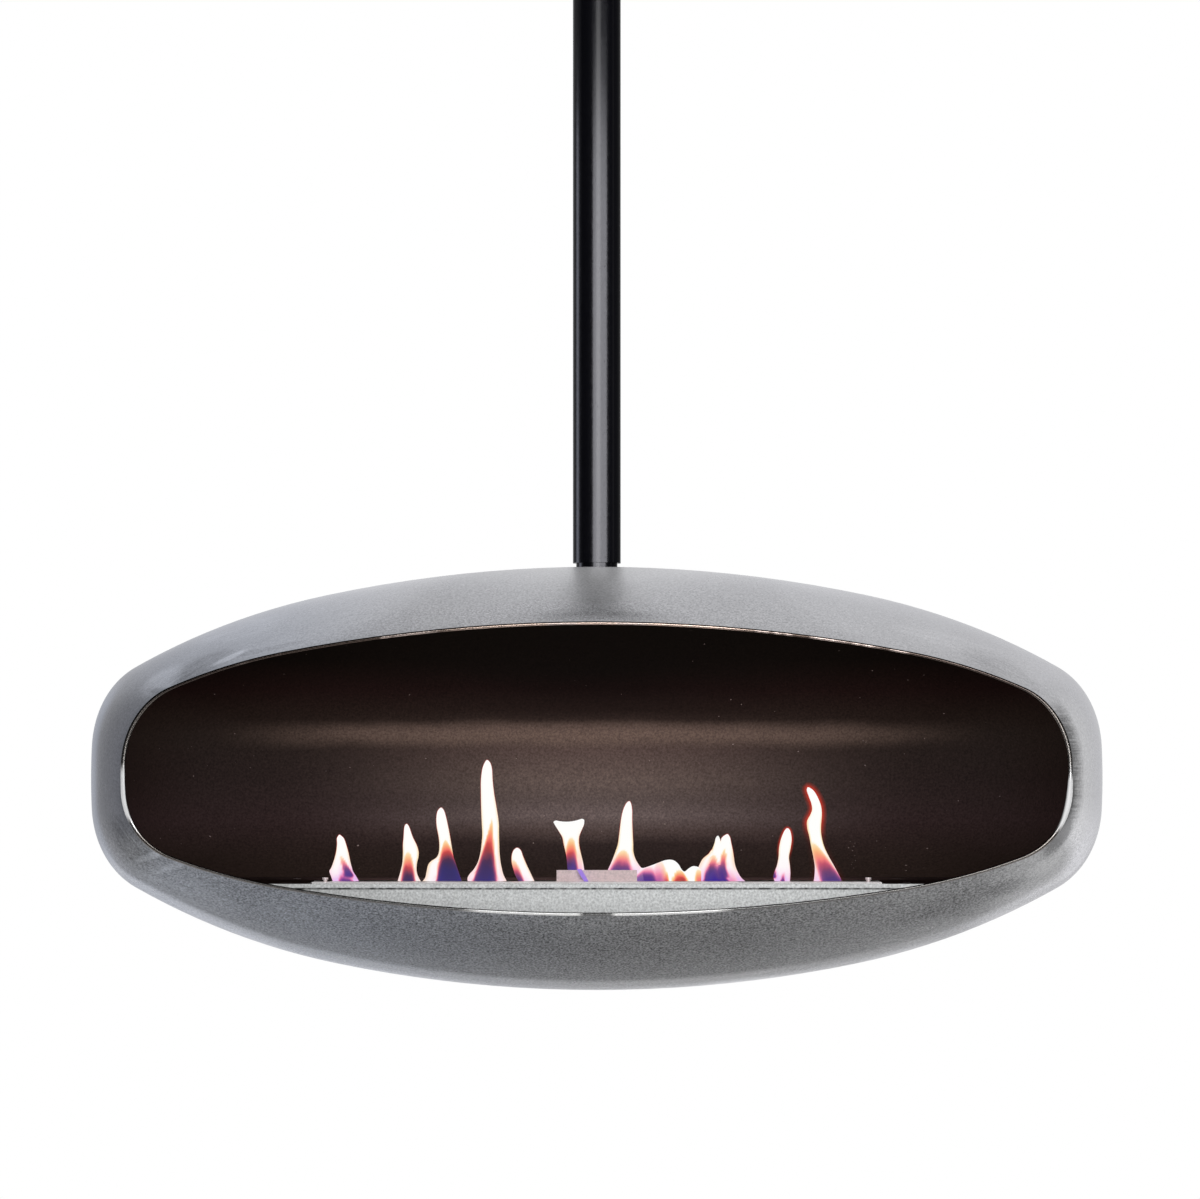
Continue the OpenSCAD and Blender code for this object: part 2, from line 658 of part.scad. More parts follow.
module burner_lid() {
    color([0.78, 0.79, 0.78]) difference() {
        box(-lid_half, lid_half, lid_front_y, lid_rear_y, shelf_z, lid_top_z);
        both_sides() translate([pin_x, pin_y, shelf_z - OVERCUT]) cylinder(d = pin_d + 2 * fit_gap, h = lid_t + 2 * OVERCUT);
    }
}

module lid_tab() {
    color([0.78, 0.76, 0.76]) union() {
        box(-tab_w / 2, tab_w / 2, lid_rear_y - lid_t, lid_rear_y, lid_top_z, lid_top_z + tab_h);
        box(-tab_w / 2, tab_w / 2, lid_rear_y - tab_foot, lid_rear_y, lid_top_z, lid_top_z + lid_t);
    }
}

module guide_pins() {
    foot_z = burner_foot_z - seat_gap - pin_nut_t;
    color("silver") both_sides() translate([pin_x, pin_y, 0]) {
        translate([0, 0, foot_z]) cylinder(d = pin_d, h = lid_top_z + pin_h - foot_z);
        translate([0, 0, lid_top_z + pin_h - pin_head_t]) cylinder(d = pin_head_d, h = pin_head_t);
    }
}

module guide_pin_nuts() {
    color("silver") both_sides() translate([pin_x, pin_y, burner_foot_z - seat_gap - pin_nut_t])
        ring(pin_nut_d / 2, pin_d / 2 + fit_gap, pin_nut_t);
}

ceiling_plate();
pole_spigot();
pole_lock_screws();
pole();
pole_end_plug();
swivel_stem();
thrust_ring();
nut_washer();
castle_nut();
split_pin();
ceiling_cover();
cover_friction_ring();
upper_shell();
lower_shell();
pivot_boss();
pivot_bush();
nut_cover();
nut_cover_screws();
burner_shelf();
front_skirt();
burner_ledges();
shelf_brackets();
shelf_screws();
burner_top();
burner_tank();
wick_pad();
burner_lid();
lid_tab();
guide_pins();
guide_pin_nuts();
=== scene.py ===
import math
import bpy
import bmesh
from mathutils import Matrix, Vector

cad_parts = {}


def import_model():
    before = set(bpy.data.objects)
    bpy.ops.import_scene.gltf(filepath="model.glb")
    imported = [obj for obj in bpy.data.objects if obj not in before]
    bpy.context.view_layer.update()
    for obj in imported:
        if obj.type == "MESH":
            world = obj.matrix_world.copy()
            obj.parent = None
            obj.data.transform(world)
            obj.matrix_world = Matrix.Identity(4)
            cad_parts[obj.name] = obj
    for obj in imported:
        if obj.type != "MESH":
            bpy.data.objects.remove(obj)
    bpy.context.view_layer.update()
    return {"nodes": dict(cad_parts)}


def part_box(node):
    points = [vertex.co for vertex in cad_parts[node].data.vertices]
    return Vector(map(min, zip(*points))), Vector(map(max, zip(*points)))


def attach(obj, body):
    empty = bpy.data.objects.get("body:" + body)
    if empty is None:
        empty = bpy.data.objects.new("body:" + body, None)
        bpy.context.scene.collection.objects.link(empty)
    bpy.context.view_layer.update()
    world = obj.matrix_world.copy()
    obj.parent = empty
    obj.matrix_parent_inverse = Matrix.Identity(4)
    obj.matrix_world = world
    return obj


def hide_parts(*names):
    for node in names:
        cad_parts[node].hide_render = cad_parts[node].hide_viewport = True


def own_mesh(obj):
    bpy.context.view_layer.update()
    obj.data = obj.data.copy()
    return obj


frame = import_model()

MM = 0.001

# ---------------------------------------------------------------- sizes read from the frame, in metres
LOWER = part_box("lower_shell")
BODY_W = LOWER[1][0] - LOWER[0][0]
FRONT_D, BACK_D = -LOWER[0][1], LOWER[1][1]
MID_Z = LOWER[1][2]
BODY_H = 2 * (MID_Z - LOWER[0][2])
CROWN_Z = MID_Z + BODY_H / 2
PLATE_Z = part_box("burner_top")[1][2]
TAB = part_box("lid_tab")

# ---------------------------------------------------------------- values that the frame doesn't give
STEEL_T = 0.003
MOUTH_RATIO = 0.76  # the opening's plane, as a share of the depth at which the front would close
PLAN_N, SIDE_N = 4.2, 2.05  # exponents of the outlines from above and from the side
MOUTH_RISE = 0.012  # how far the opening's middle lies over the body's
# Four arcs from the top to the side, of the widest section and of the opening: radii in mm, and the
# degrees of all but the third
SECTION_R, SECTION_A = (1525, 800, 90, 695), (11.8, 18.6, 5.3)
MOUTH_R, MOUTH_A = (2200, 705, 87, 450), (9.6, 11.2, 1.8)
CROWN_HOLE_R = 0.0253
SLOT_Y = -0.157  # the middle of the slot that the flames come out of


# ---------------------------------------------------------------- nodes in short
def node(tree, kind, ins=None, **settings):
    """A shader node, with each of its inputs linked to another node or set to a value."""
    n = tree.nodes.new("ShaderNode" + kind)
    for key, value in settings.items():
        setattr(n, key, value)
    for key, value in (ins or {}).items():
        if isinstance(value, bpy.types.NodeSocket):
            tree.links.new(value, n.inputs[key])
        else:
            n.inputs[key].default_value = value
    return n


def material(name):
    """A new material, its node tree and its shader."""
    m = bpy.data.materials.new(name)
    m.use_nodes = True
    return m, m.node_tree, m.node_tree.nodes["Principled BSDF"]


def link(tree, bsdf, **inputs):
    """Links values to a shader's inputs, whose names are written with _ for a space."""
    for name, value in inputs.items():
        tree.links.new(value, bsdf.inputs[name.replace("_", " ")])


def surface(tree, shader):
    """Makes a shader the material's surface."""
    tree.links.new(shader, tree.nodes["Material Output"].inputs["Surface"])


def place(tree, scale=(1, 1, 1)):
    """A point's place in metres, stretched along the axes."""
    coord = node(tree, "TexCoord").outputs["Object"]
    return node(tree, "Mapping", {"Vector": coord, "Scale": scale}).outputs["Vector"]


def axis(tree, which):
    """One coordinate of a point in metres: 0, 1 or 2 for x, y or z."""
    coord = node(tree, "TexCoord").outputs["Object"]
    return node(tree, "SeparateXYZ", {0: coord}).outputs[which]


def facing(tree, kind="Normal"):
    """The three parts of the direction that the surface faces."""
    return node(tree, "SeparateXYZ", {0: node(tree, "NewGeometry").outputs[kind]}).outputs


def length(tree, vector):
    return node(tree, "VectorMath", {0: vector}, operation="LENGTH").outputs["Value"]


def noise(tree, at, scale, detail=2.0, rough=0.5):
    """Noise between 0 and 1, with scale lumps to the metre."""
    ins = {"Vector": at, "Scale": scale, "Detail": detail, "Roughness": rough}
    return node(tree, "TexNoise", ins).outputs[0]


def math_node(tree, op, a, b=0.0, c=0.0):
    return node(tree, "Math", {0: a, 1: b, 2: c}, operation=op).outputs[0]


def plus(tree, a, b):
    return math_node(tree, "ADD", a, b)


def times(tree, first, *others):
    for other in others:
        first = math_node(tree, "MULTIPLY", first, other)
    return first


def larger(tree, a, b):
    return math_node(tree, "MAXIMUM", a, b)


def absolute(tree, value):
    return math_node(tree, "ABSOLUTE", value)


def remap(tree, value, lo, hi, out_lo=0.0, out_hi=1.0, smooth=False):
    """A value's way from lo to hi, as out_lo to out_hi, and held level past both."""
    ins = {"Value": value, "From Min": lo, "From Max": hi, "To Min": out_lo, "To Max": out_hi}
    kind = "SMOOTHSTEP" if smooth else "LINEAR"
    return node(tree, "MapRange", ins, interpolation_type=kind).outputs["Result"]


def ease(tree, value, lo, hi, out_lo=0.0, out_hi=1.0):
    """The same with soft ends."""
    return remap(tree, value, lo, hi, out_lo, out_hi, smooth=True)


def spread(tree, grain, lo=0.0, hi=1.0):
    """A noise's values, nearly all of which lie between 0.3 and 0.7, spread from lo to hi."""
    return remap(tree, grain, 0.3, 0.7, lo, hi)


def mix(tree, share, a, b, blend="MIX"):
    """A share of colour b over colour a."""
    n = node(tree, "Mix", {0: share}, data_type="RGBA", blend_type=blend)
    for key, value in ((6, a), (7, b)):
        if isinstance(value, bpy.types.NodeSocket):
            tree.links.new(value, n.inputs[key])
        else:
            n.inputs[key].default_value = (*value, 1.0)
    return n.outputs[2]


def shaded(tree, tint, shade):
    """A colour made lighter or darker by a shade round 1."""
    grey = node(tree, "CombineColor", {0: shade, 1: shade, 2: shade}).outputs[0]
    return mix(tree, 1.0, tint, grey, "MULTIPLY")


def ramp(tree, fac, stops):
    """A colour by a value from 0 to 1, along stops of (value, colour)."""
    n = node(tree, "ValToRGB", {"Fac": fac})
    els = n.color_ramp.elements
    while len(els) < len(stops):
        els.new(0.5)
    for el, (pos, col) in zip(els, stops):
        el.position = pos
        el.color = (*col, 1.0)
    return n.outputs["Color"]


def bump(tree, bsdf, height, strength, distance):
    ins = {"Height": height, "Strength": strength, "Distance": distance}
    link(tree, bsdf, Normal=node(tree, "Bump", ins).outputs["Normal"])


# ---------------------------------------------------------------- plain metals
def painted_shadow_line(t, z):
    """A broken painted shadow line at one height, as much as it takes off the shade."""
    off = absolute(t, plus(t, axis(t, 2), -z))
    broken = remap(t, noise(t, place(t, (150, 1, 1)), 1.0), 0.35, 0.6, 0.45, 0.95)
    return times(t, remap(t, off, 0.0015, 0.0005), broken)


def grained_metal(name, colour, rough, grain, grain_scale, bump_by, metallic=1.0, shadow_line_z=None):
    """Sheet or turned metal: fine grain, wide clouds and, at a height if one is given, a thin painted shadow
    line.
    """
    m, t, b = material(name)
    fine = noise(t, place(t), grain_scale, 2.0, 0.6)
    cloud = noise(t, place(t), 14.0, 3.0)
    shade = plus(t, spread(t, fine, 1 - grain, 1 + grain), spread(t, cloud, -0.05, 0.05))
    if shadow_line_z:
        shade = times(t, shade, math_node(t, "SUBTRACT", 1.0, painted_shadow_line(t, shadow_line_z)))
    link(t, b, Base_Color=shaded(t, colour, shade), Roughness=spread(t, cloud, rough - 0.05, rough + 0.05))
    b.inputs["Metallic"].default_value = metallic
    bump(t, b, fine, bump_by, 0.0004)
    return m


def dark_topped(name, metal):
    """The same sheet, under a matt dark brown coat where it faces up."""
    m = metal.copy()
    m.name = name
    t = m.node_tree
    grain = noise(t, place(t), 520.0, 3.0, 0.7)
    brown = mix(t, grain, (0.010, 0.0055, 0.0050), (0.022, 0.013, 0.012))
    coat = node(t, "BsdfPrincipled", {"Base Color": brown, "Roughness": 0.7, "Specular IOR Level": 0.02})
    level = remap(t, facing(t, "True Normal")[2], 0.5, 0.7)
    metal_out = t.nodes["Principled BSDF"].outputs[0]
    surface(t, node(t, "MixShader", {0: level, 1: metal_out, 2: coat.outputs[0]}).outputs[0])
    return m


# ---------------------------------------------------------------- the body's ground steel
def stroke(tree, x, z, turn, long, wide):
    """1 along the middle of a slanting patch and 0 at its rim, and a point's place along and across it."""
    coord = node(tree, "TexCoord").outputs["Object"]
    at = node(tree, "Mapping", {"Vector": coord, "Location": (-x, 0, -MID_Z - z)}).outputs["Vector"]
    at = node(tree, "Mapping", {"Vector": at, "Rotation": (0, math.radians(turn), 0)}).outputs["Vector"]
    ins = {0: at, 1: (1 / long, 0, 1 / wide)}
    at = node(tree, "VectorMath", ins, operation="MULTIPLY").outputs["Vector"]
    return ease(tree, length(tree, at), 1.0, 0.45), at


# Lighter and darker patches, partly rubbed and ground marks and partly painted light and shade: x and z in
# metres from the body's middle, slope in degrees, half length, half width, how much lighter or darker, and
# how streaky
RUBS_AND_PAINTED_LIGHT = [
    (-0.503, 0.113, 35, 0.036, 0.016, 0.40, 0.5), (-0.490, 0.100, -4, 0.036, 0.006, -0.45, 0.5),
    (-0.455, 0.131, 30, 0.052, 0.015, -0.34, 0.7), (-0.424, 0.140, 25, 0.028, 0.0035, 0.50, 0.1),
    (-0.420, 0.175, 14, 0.070, 0.018, 0.20, 0.7), (-0.538, -0.072, -52, 0.045, 0.026, -0.36, 0.7),
    (-0.507, -0.086, 20, 0.038, 0.006, 0.44, 0.2), (-0.484, -0.099, 20, 0.042, 0.005, 0.34, 0.2),
    (-0.478, -0.128, -24, 0.085, 0.026, 0.26, 0.8), (-0.330, -0.160, -18, 0.100, 0.030, 0.12, 0.9),
    (0.490, -0.1230, 13, 0.054, 0.012, -0.34, 0.3), (0.430, -0.139, 18, 0.110, 0.018, -0.20, 0.5),
    (0.400, -0.178, 16, 0.110, 0.014, 0.26, 0.9), (0.500, -0.133, 24, 0.070, 0.014, 0.14, 0.4),
    (0.470, 0.125, -30, 0.070, 0.020, -0.16, 0.8), (0.410, 0.160, -14, 0.090, 0.012, 0.14, 0.9),
    (0.240, -0.225, 14, 0.070, 0.006, -0.22, 0.5), (-0.380, 0.150, 12, 0.060, 0.004, -0.18, 0.3),
    (-0.505, 0.140, 36, 0.110, 0.030, 0.14, 0.3), (0.530, -0.070, 54, 0.034, 0.013, -0.85, 0.3),
    (0.520, -0.098, 50, 0.050, 0.012, 0.22, 0.2), (-0.340, 0.190, 18, 0.190, 0.052, 0.26, 0.2),
    (0.330, 0.190, -18, 0.170, 0.050, 0.10, 0.2)]
STREAKS = (1.3, 1, 9.0)  # streaks over a patch: along it, through it, across it
BELOW_Z = (-0.02, -0.12)  # heights between which the bottom's coarser grain, its painted light and shade and its bluer painted tint take over
NECK_R = (0.26, 0.10)  # distances from the pole between which the crown's look takes over: a painted highlight, rougher and less metallic
POLE_REFLECTION_X = (-0.0165, 0.0225)  # where the crown gets a painted reflection of the pole's dark sides
# The band of painted shade right of the opening, in short level streaks: along x, by height off the
# opening's middle, and from the front
SHADE_BAND_X, SHADE_BAND_HIGH, SHADE_BAND_DEEP = (0.515, 0.545), (0.125, 0.070), 0.019
DARKEST = 0.16  # the least that the patches and the painted shade beside the opening leave of the steel's colour
# STEEL is the steel's own colour; the bluer ones are painted reflection tints
STEEL, STEEL_LEFT, STEEL_LEFT_UNDER = (0.455, 0.455, 0.462), (0.432, 0.448, 0.482), (0.428, 0.450, 0.500)
STEEL_LEFT_BAND, STEEL_LEFT_RIM = (0.440, 0.443, 0.450), (0.425, 0.452, 0.500)


def add_rubs_and_painted_light(t, shade):
    """The patches of rubbing and of painted light and shade, on the front half alone."""
    front = remap(t, axis(t, 1), 0.10, 0.03)
    for x, z, turn, long, wide, by, streaky in RUBS_AND_PAINTED_LIGHT:
        patch, at = stroke(t, x, z, turn, long, wide)
        along = node(t, "Mapping", {"Vector": at, "Scale": STREAKS}).outputs["Vector"]
        streaks = noise(t, along, 1.0, 3.0, 0.6)
        patch = times(t, patch, front, remap(t, streaks, 0.38, 0.62, 1.0 - streaky, 1.0))
        shade = math_node(t, "MULTIPLY_ADD", patch, by, shade)
    return shade


def painted_shade_streaks(t, x, high):
    """Painted shade on the narrow band right of the opening's edge, broken into short level streaks."""
    lip = remap(t, axis(t, 1), -FRONT_D + SHADE_BAND_DEEP, -FRONT_D)
    level_streaks = noise(t, place(t, (22, 22, 420)), 1.0, 3.0, 0.7)
    band = times(t, ease(t, x, *SHADE_BAND_X), lip, ease(t, high, *SHADE_BAND_HIGH))
    return times(t, band, remap(t, level_streaks, 0.38, 0.62, 0.60, 1.0))


def painted_bottom_light(t, x, below):
    """Painted light and shade on the bottom, and how much each adds: highlights at its rim and its right
    end, shade past the rim and inside.

    The limits are metres along x, or parts of the direction that the surface faces.
    """
    _, face_y, face_z = facing(t)
    right = remap(t, x, 0.22, 0.42)
    rim = times(t, ease(t, face_y, -0.31, -0.25), ease(t, face_z, -0.35, -0.75))
    rim = times(t, rim, remap(t, face_y, -0.25, -0.13, 0.85, 0.45), remap(t, right, 0.0, 1.0, 1.0, 0.30))
    outer = times(t, ease(t, face_y, -0.27, -0.16), ease(t, face_z, -0.30, -0.60), right)
    end = times(t, ease(t, x, 0.42, 0.54), remap(t, below, 0.0, 1.0, 0.21, 1.0))
    end = times(t, end, remap(t, face_y, -0.34, -0.20, 1.0, 0.32))
    middle = times(t, below, ease(t, absolute(t, x), 0.32, 0.10))
    return (rim, 1.0), (outer, -0.30), (end, 1.0), (middle, -0.10)


def steel_with_reflection_tint(t, x, high, below, left_rim_highlight):
    """The steel's own colour, with painted reflection tints that turn it bluer to the left, under it, on the
    left band and at the left rim.
    """
    tint = mix(t, ease(t, x, -0.18, -0.42), STEEL, STEEL_LEFT)
    tint = mix(t, times(t, below, ease(t, x, 0.10, -0.35)), tint, STEEL_LEFT_UNDER)
    band = times(t, remap(t, x, -0.50, -0.56), ease(t, high, 0.15, 0.08))
    tint = mix(t, band, tint, STEEL_LEFT_BAND)
    return mix(t, left_rim_highlight, tint, STEEL_LEFT_RIM)


def body_steel():
    """Satin-ground stainless sheet: fine grain, rubbed patches, and painted light, shade and reflections
    over it.
    """
    m, t, b = material("satin_steel")
    x, z = axis(t, 0), plus(t, axis(t, 2), -MID_Z)
    face_x, face_y, _ = facing(t)
    high = absolute(t, plus(t, z, -MOUTH_RISE))
    below = remap(t, z, *BELOW_Z)
    # the crown round the pole, which is painted lighter
    neck = ease(t, length(t, place(t, (1, 1, 0))), *NECK_R)
    neck = times(t, neck, remap(t, z, 0.0, 0.1))
    # a painted highlight along the left rim
    left_rim_highlight = times(t, ease(t, face_y, -0.42, -0.28), ease(t, face_x, -0.60, -0.88))

    fine = noise(t, place(t), 400.0, 3.0, 0.7)
    cloud = noise(t, place(t), 11.0, 3.0, 0.55)
    coarse = remap(t, absolute(t, x), 0.20, 0.42, 0.30, 0.18)
    coarse = larger(t, coarse, remap(t, below, 0.0, 1.0, 0.0, 0.78))
    shade = plus(t, times(t, spread(t, fine, -1.0, 1.0), coarse), spread(t, cloud, 0.96, 1.04))
    shade = add_rubs_and_painted_light(t, shade)
    # painted shade beside the opening, never darker than DARKEST
    shade = larger(t, math_node(t, "MULTIPLY_ADD", painted_shade_streaks(t, x, high), -1.20, shade), DARKEST)
    # painted light and shade: the bottom's, the left rim's and the crown's highlights, and the pole's
    # painted reflection
    lights = [*painted_bottom_light(t, x, below), (left_rim_highlight, 0.36), (neck, 0.17)]
    for middle in POLE_REFLECTION_X:
        pole_reflection = ease(t, absolute(t, plus(t, x, -middle)), 0.013, 0.004)
        lights.append((times(t, pole_reflection, neck), -0.20))
    for part, by in lights:
        shade = math_node(t, "MULTIPLY_ADD", part, by, shade)

    rough = times(t, spread(t, cloud, 0.22, 0.30), remap(t, neck, 0.0, 1.0, 1.0, 1.5))
    link(t, b, Base_Color=shaded(t, steel_with_reflection_tint(t, x, high, below, left_rim_highlight), shade), Roughness=rough,
         Metallic=remap(t, neck, 0.0, 1.0, 1.0, 0.25))
    b.inputs["Specular Tint"].default_value = (0.88, 0.88, 0.89, 1.0)
    bump(t, b, fine, 0.10, 0.0004)
    return m


# ---------------------------------------------------------------- the coat inside
# The coat's colour by height over the body's middle, in metres: dark brown, with painted glow in lighter
# level bands
COAT_SPAN = (-0.15, 0.21)
COAT_MIDDLE = [
    (-0.150, (0.014, 0.008, 0.006)), (-0.110, (0.014, 0.009, 0.008)), (-0.085, (0.017, 0.011, 0.010)),
    (-0.070, (0.046, 0.031, 0.028)), (-0.050, (0.084, 0.062, 0.059)), (-0.028, (0.065, 0.047, 0.043)),
    (-0.004, (0.078, 0.055, 0.048)), (0.034, (0.062, 0.040, 0.035)), (0.063, (0.056, 0.037, 0.030)),
    (0.075, (0.018, 0.011, 0.009)), (0.087, (0.010, 0.0055, 0.0045)), (0.116, (0.005, 0.0023, 0.0020)),
    (0.136, (0.0033, 0.0021, 0.0017)), (0.210, (0.0030, 0.0022, 0.0017))]
COAT_SIDE = [
    (-0.150, (0.016, 0.010, 0.008)), (-0.100, (0.019, 0.012, 0.010)), (-0.053, (0.0262, 0.0152, 0.0150)),
    (0.000, (0.0205, 0.0125, 0.0113)), (0.055, (0.021, 0.0137, 0.0113)), (0.085, (0.017, 0.010, 0.008)),
    (0.113, (0.012, 0.0054, 0.0048)), (0.150, (0.0045, 0.0029, 0.0022)), (0.210, (0.0028, 0.0020, 0.0015))]
COAT_HIGHLIGHT, COAT_HIGHLIGHT_Z = (0.088, 0.058, 0.047), 0.056  # a painted highlight: the brightest band, and its height
COAT_SPECK = (0.20, 0.15, 0.14)


def coat_colour(t, z, rows):
    lo, hi = COAT_SPAN
    return ramp(t, remap(t, z, lo, hi), [((height - lo) / (hi - lo), colour) for height, colour in rows])


def ash_specks(t):
    """Single pale specks all over, and a drift of them low at the right."""
    specks = remap(t, noise(t, place(t), 330.0, 0.0), 0.885, 0.90)
    drift, _ = stroke(t, 0.329, -0.0925, 90, 0.034, 0.008)
    return larger(t, specks, times(t, drift, remap(t, noise(t, place(t), 520.0, 0.0), 0.74, 0.84)))


def dark_coat_painted_glow():
    """The inside: matt dark brown coat with painted glow in level bands, bright in the middle and dull at
    the sides.
    """
    m, t, b = material("dark_coat_painted_glow")
    grain = noise(t, place(t), 360.0, 3.0, 0.7)
    cloud = noise(t, place(t, (1, 1, 2.5)), 7.0, 3.0, 0.55)
    z = plus(t, plus(t, axis(t, 2), -MID_Z), spread(t, cloud, -0.0025, 0.0025))
    far = absolute(t, axis(t, 0))
    tint = mix(t, ease(t, far, 0.43, 0.0), coat_colour(t, z, COAT_SIDE), coat_colour(t, z, COAT_MIDDLE))
    # painted highlight along the brightest band, fading to the sides
    gleam = ease(t, absolute(t, plus(t, z, -COAT_HIGHLIGHT_Z)), 0.022, 0.0)
    tint = mix(t, times(t, gleam, ease(t, far, 0.52, 0.27)), tint, COAT_HIGHLIGHT)
    colour = mix(t, ash_specks(t), shaded(t, tint, spread(t, grain, 0.62, 1.38)), COAT_SPECK)
    link(t, b, Base_Color=colour)
    b.inputs["Roughness"].default_value = 0.62
    b.inputs["Specular IOR Level"].default_value = 0.03
    bump(t, b, grain, 0.35, 0.0005)
    return m


# ---------------------------------------------------------------- the sheet's cut edge
# The edge's colour by height over the body's middle, from the first value of EDGE_SPAN to the second, with a
# painted white highlight at both sides
EDGE_SPAN = (-0.16, 0.20)
EDGE_TINTS = [
    (0.0, (0.30, 0.30, 0.30)), (0.20, (0.34, 0.31, 0.29)), (0.26, (0.40, 0.36, 0.33)),
    (0.30, (1.0, 1.0, 1.0)), (0.46, (1.0, 1.0, 1.0)), (0.50, (0.42, 0.40, 0.38)),
    (0.64, (0.40, 0.36, 0.33)), (0.74, (0.14, 0.11, 0.10)), (0.90, (0.16, 0.12, 0.10)),
    (1.0, (0.20, 0.15, 0.12))]
# painted light of the fire on the edge over it, and painted highlights in dashes along the top and under the
# shelf's middle
EDGE_FIRE_LIGHT, EDGE_HIGHLIGHT_DASHES = (0.85, 0.66, 0.56), (0.80, 0.66, 0.60)
EDGE_UNDER_SHELF_HIGHLIGHT, UNDER_SHELF_X = (1.0, 1.0, 0.98), (0.022, 0.135)  # from either side of the middle


def edge_tint(t, far, z, under):
    """Painted highlights: white at both sides, cream fire light over the fire, pale dashes along the top and
    white under the shelf's middle; darker and brownish elsewhere.
    """
    tint = ramp(t, remap(t, z, *EDGE_SPAN), EDGE_TINTS)
    tint = mix(t, times(t, ease(t, far, 0.20, 0.13), remap(t, z, 0.12, 0.15)), tint, EDGE_FIRE_LIGHT)
    highlight_dashes = noise(t, place(t, (26, 26, 5)), 1.0, 2.0, 0.6)
    tint = mix(t, times(t, ease(t, highlight_dashes, 0.50, 0.62), remap(t, z, 0.13, 0.15)), tint, EDGE_HIGHLIGHT_DASHES)
    return mix(t, under, tint, EDGE_UNDER_SHELF_HIGHLIGHT)


def edge_shade(t, fine, under):
    """Painted shade: dark where the edge faces up or to the right."""
    face_x, _, face_z = facing(t)
    shade = times(t, spread(t, fine, 0.96, 1.04), larger(t, ease(t, face_z, 0.22, -0.05, 0.10, 1.0), under))
    shade = times(t, shade, ease(t, face_x, 0.75, 0.50, 0.05, 1.0))
    return times(t, shade, mix(t, under, (1.0, 1.0, 1.0), ease(t, face_z, 0.34, 0.08, 0.12, 1.0)))


def bare_edge():
    """The sheet's cut edge: bare metal, matt and painted pale as a highlight low at both sides and under the
    shelf's middle.
    """
    m, t, b = material("bare_edge")
    x, z = axis(t, 0), plus(t, axis(t, 2), -MID_Z)
    far = absolute(t, x)
    fine = noise(t, place(t), 800.0)
    inner, outer = UNDER_SHELF_X
    under = times(t, remap(t, far, outer + 0.025, outer), remap(t, far, inner - 0.007, inner))
    under = times(t, under, remap(t, z, -0.13, -0.15))
    low = plus(t, z, remap(t, x, -0.1, 0.1, 0.0, 0.012))
    polished = times(t, ease(t, low, -0.052, -0.040), ease(t, low, 0.020, 0.008))
    matt = larger(t, times(t, polished, 0.8), times(t, under, 0.7))
    link(t, b, Base_Color=shaded(t, edge_tint(t, far, z, under), edge_shade(t, fine, under)),
         Metallic=math_node(t, "SUBTRACT", 1.0, matt),
         Roughness=math_node(t, "MULTIPLY_ADD", polished, 0.20, spread(t, fine, 0.20, 0.30)))
    bump(t, b, fine, 0.08, 0.0003)
    return m


# ---------------------------------------------------------------- the pole's coat and the wick
def satin_black():
    """Baked black coat: faint orange peel, small dust specks, and gloss that dies out at the rims."""
    m, t, b = material("satin_black")
    peel = noise(t, place(t), 240.0)
    fine = noise(t, place(t), 900.0)
    dust = remap(t, noise(t, place(t), 420.0, 0.0), 0.78, 0.82)
    level = plus(t, spread(t, fine, 0.44, 0.56), times(t, dust, -0.2))
    right = remap(t, axis(t, 0), 0.0, 0.01)
    start = remap(t, right, 0.0, 1.0, 0.46, 0.16)
    least = remap(t, right, 0.0, 1.0, 0.42, 0.05)
    at_rim = node(t, "LayerWeight", {"Blend": 0.5}).outputs["Facing"]
    level = times(t, level, remap(t, at_rim, start, plus(t, start, 0.16), 1.0, least))
    colour = mix(t, spread(t, fine), (0.0004, 0.0004, 0.0006), (0.0010, 0.0010, 0.0014))
    link(t, b, Base_Color=colour, Roughness=spread(t, peel, 0.17, 0.22), Specular_IOR_Level=level)
    b.inputs["IOR"].default_value = 1.27
    bump(t, b, peel, 0.05, 0.0006)
    return m


def ceramic():
    m, t, b = material("ceramic_wool")
    fibre = noise(t, place(t, (1, 1, 4)), 260.0, 4.0, 0.7)
    link(t, b, Base_Color=mix(t, fibre, (0.55, 0.52, 0.47), (0.86, 0.84, 0.79)))
    b.inputs["Roughness"].default_value = 0.95
    bump(t, b, fibre, 0.8, 0.002)
    return m


# ---------------------------------------------------------------- burning gas
# The flame's colour by how unburnt it is: in the open fire, and violet low down by the slot
FLAME_WARM = [
    (0.0, (1.0, 1.0, 0.98)), (0.04, (1.0, 0.96, 0.86)), (0.10, (0.98, 0.76, 0.46)),
    (0.19, (0.97, 0.58, 0.28)), (0.28, (0.94, 0.37, 0.18)), (0.37, (0.92, 0.19, 0.14)),
    (0.45, (0.60, 0.075, 0.07)), (0.54, (0.38, 0.058, 0.062)), (0.61, (0.20, 0.05, 0.075)),
    (0.69, (0.085, 0.034, 0.068)), (0.80, (0.052, 0.032, 0.080)), (1.0, (0.040, 0.032, 0.105))]
FLAME_VIOLET = [
    (0.0, (1.0, 1.0, 1.0)), (0.08, (1.0, 0.90, 0.93)), (0.18, (1.0, 0.70, 0.76)),
    (0.32, (0.90, 0.33, 0.46)), (0.44, (0.44, 0.15, 0.36)), (0.55, (0.18, 0.085, 0.27)),
    (0.70, (0.11, 0.062, 0.27)), (1.0, (0.065, 0.050, 0.32))]
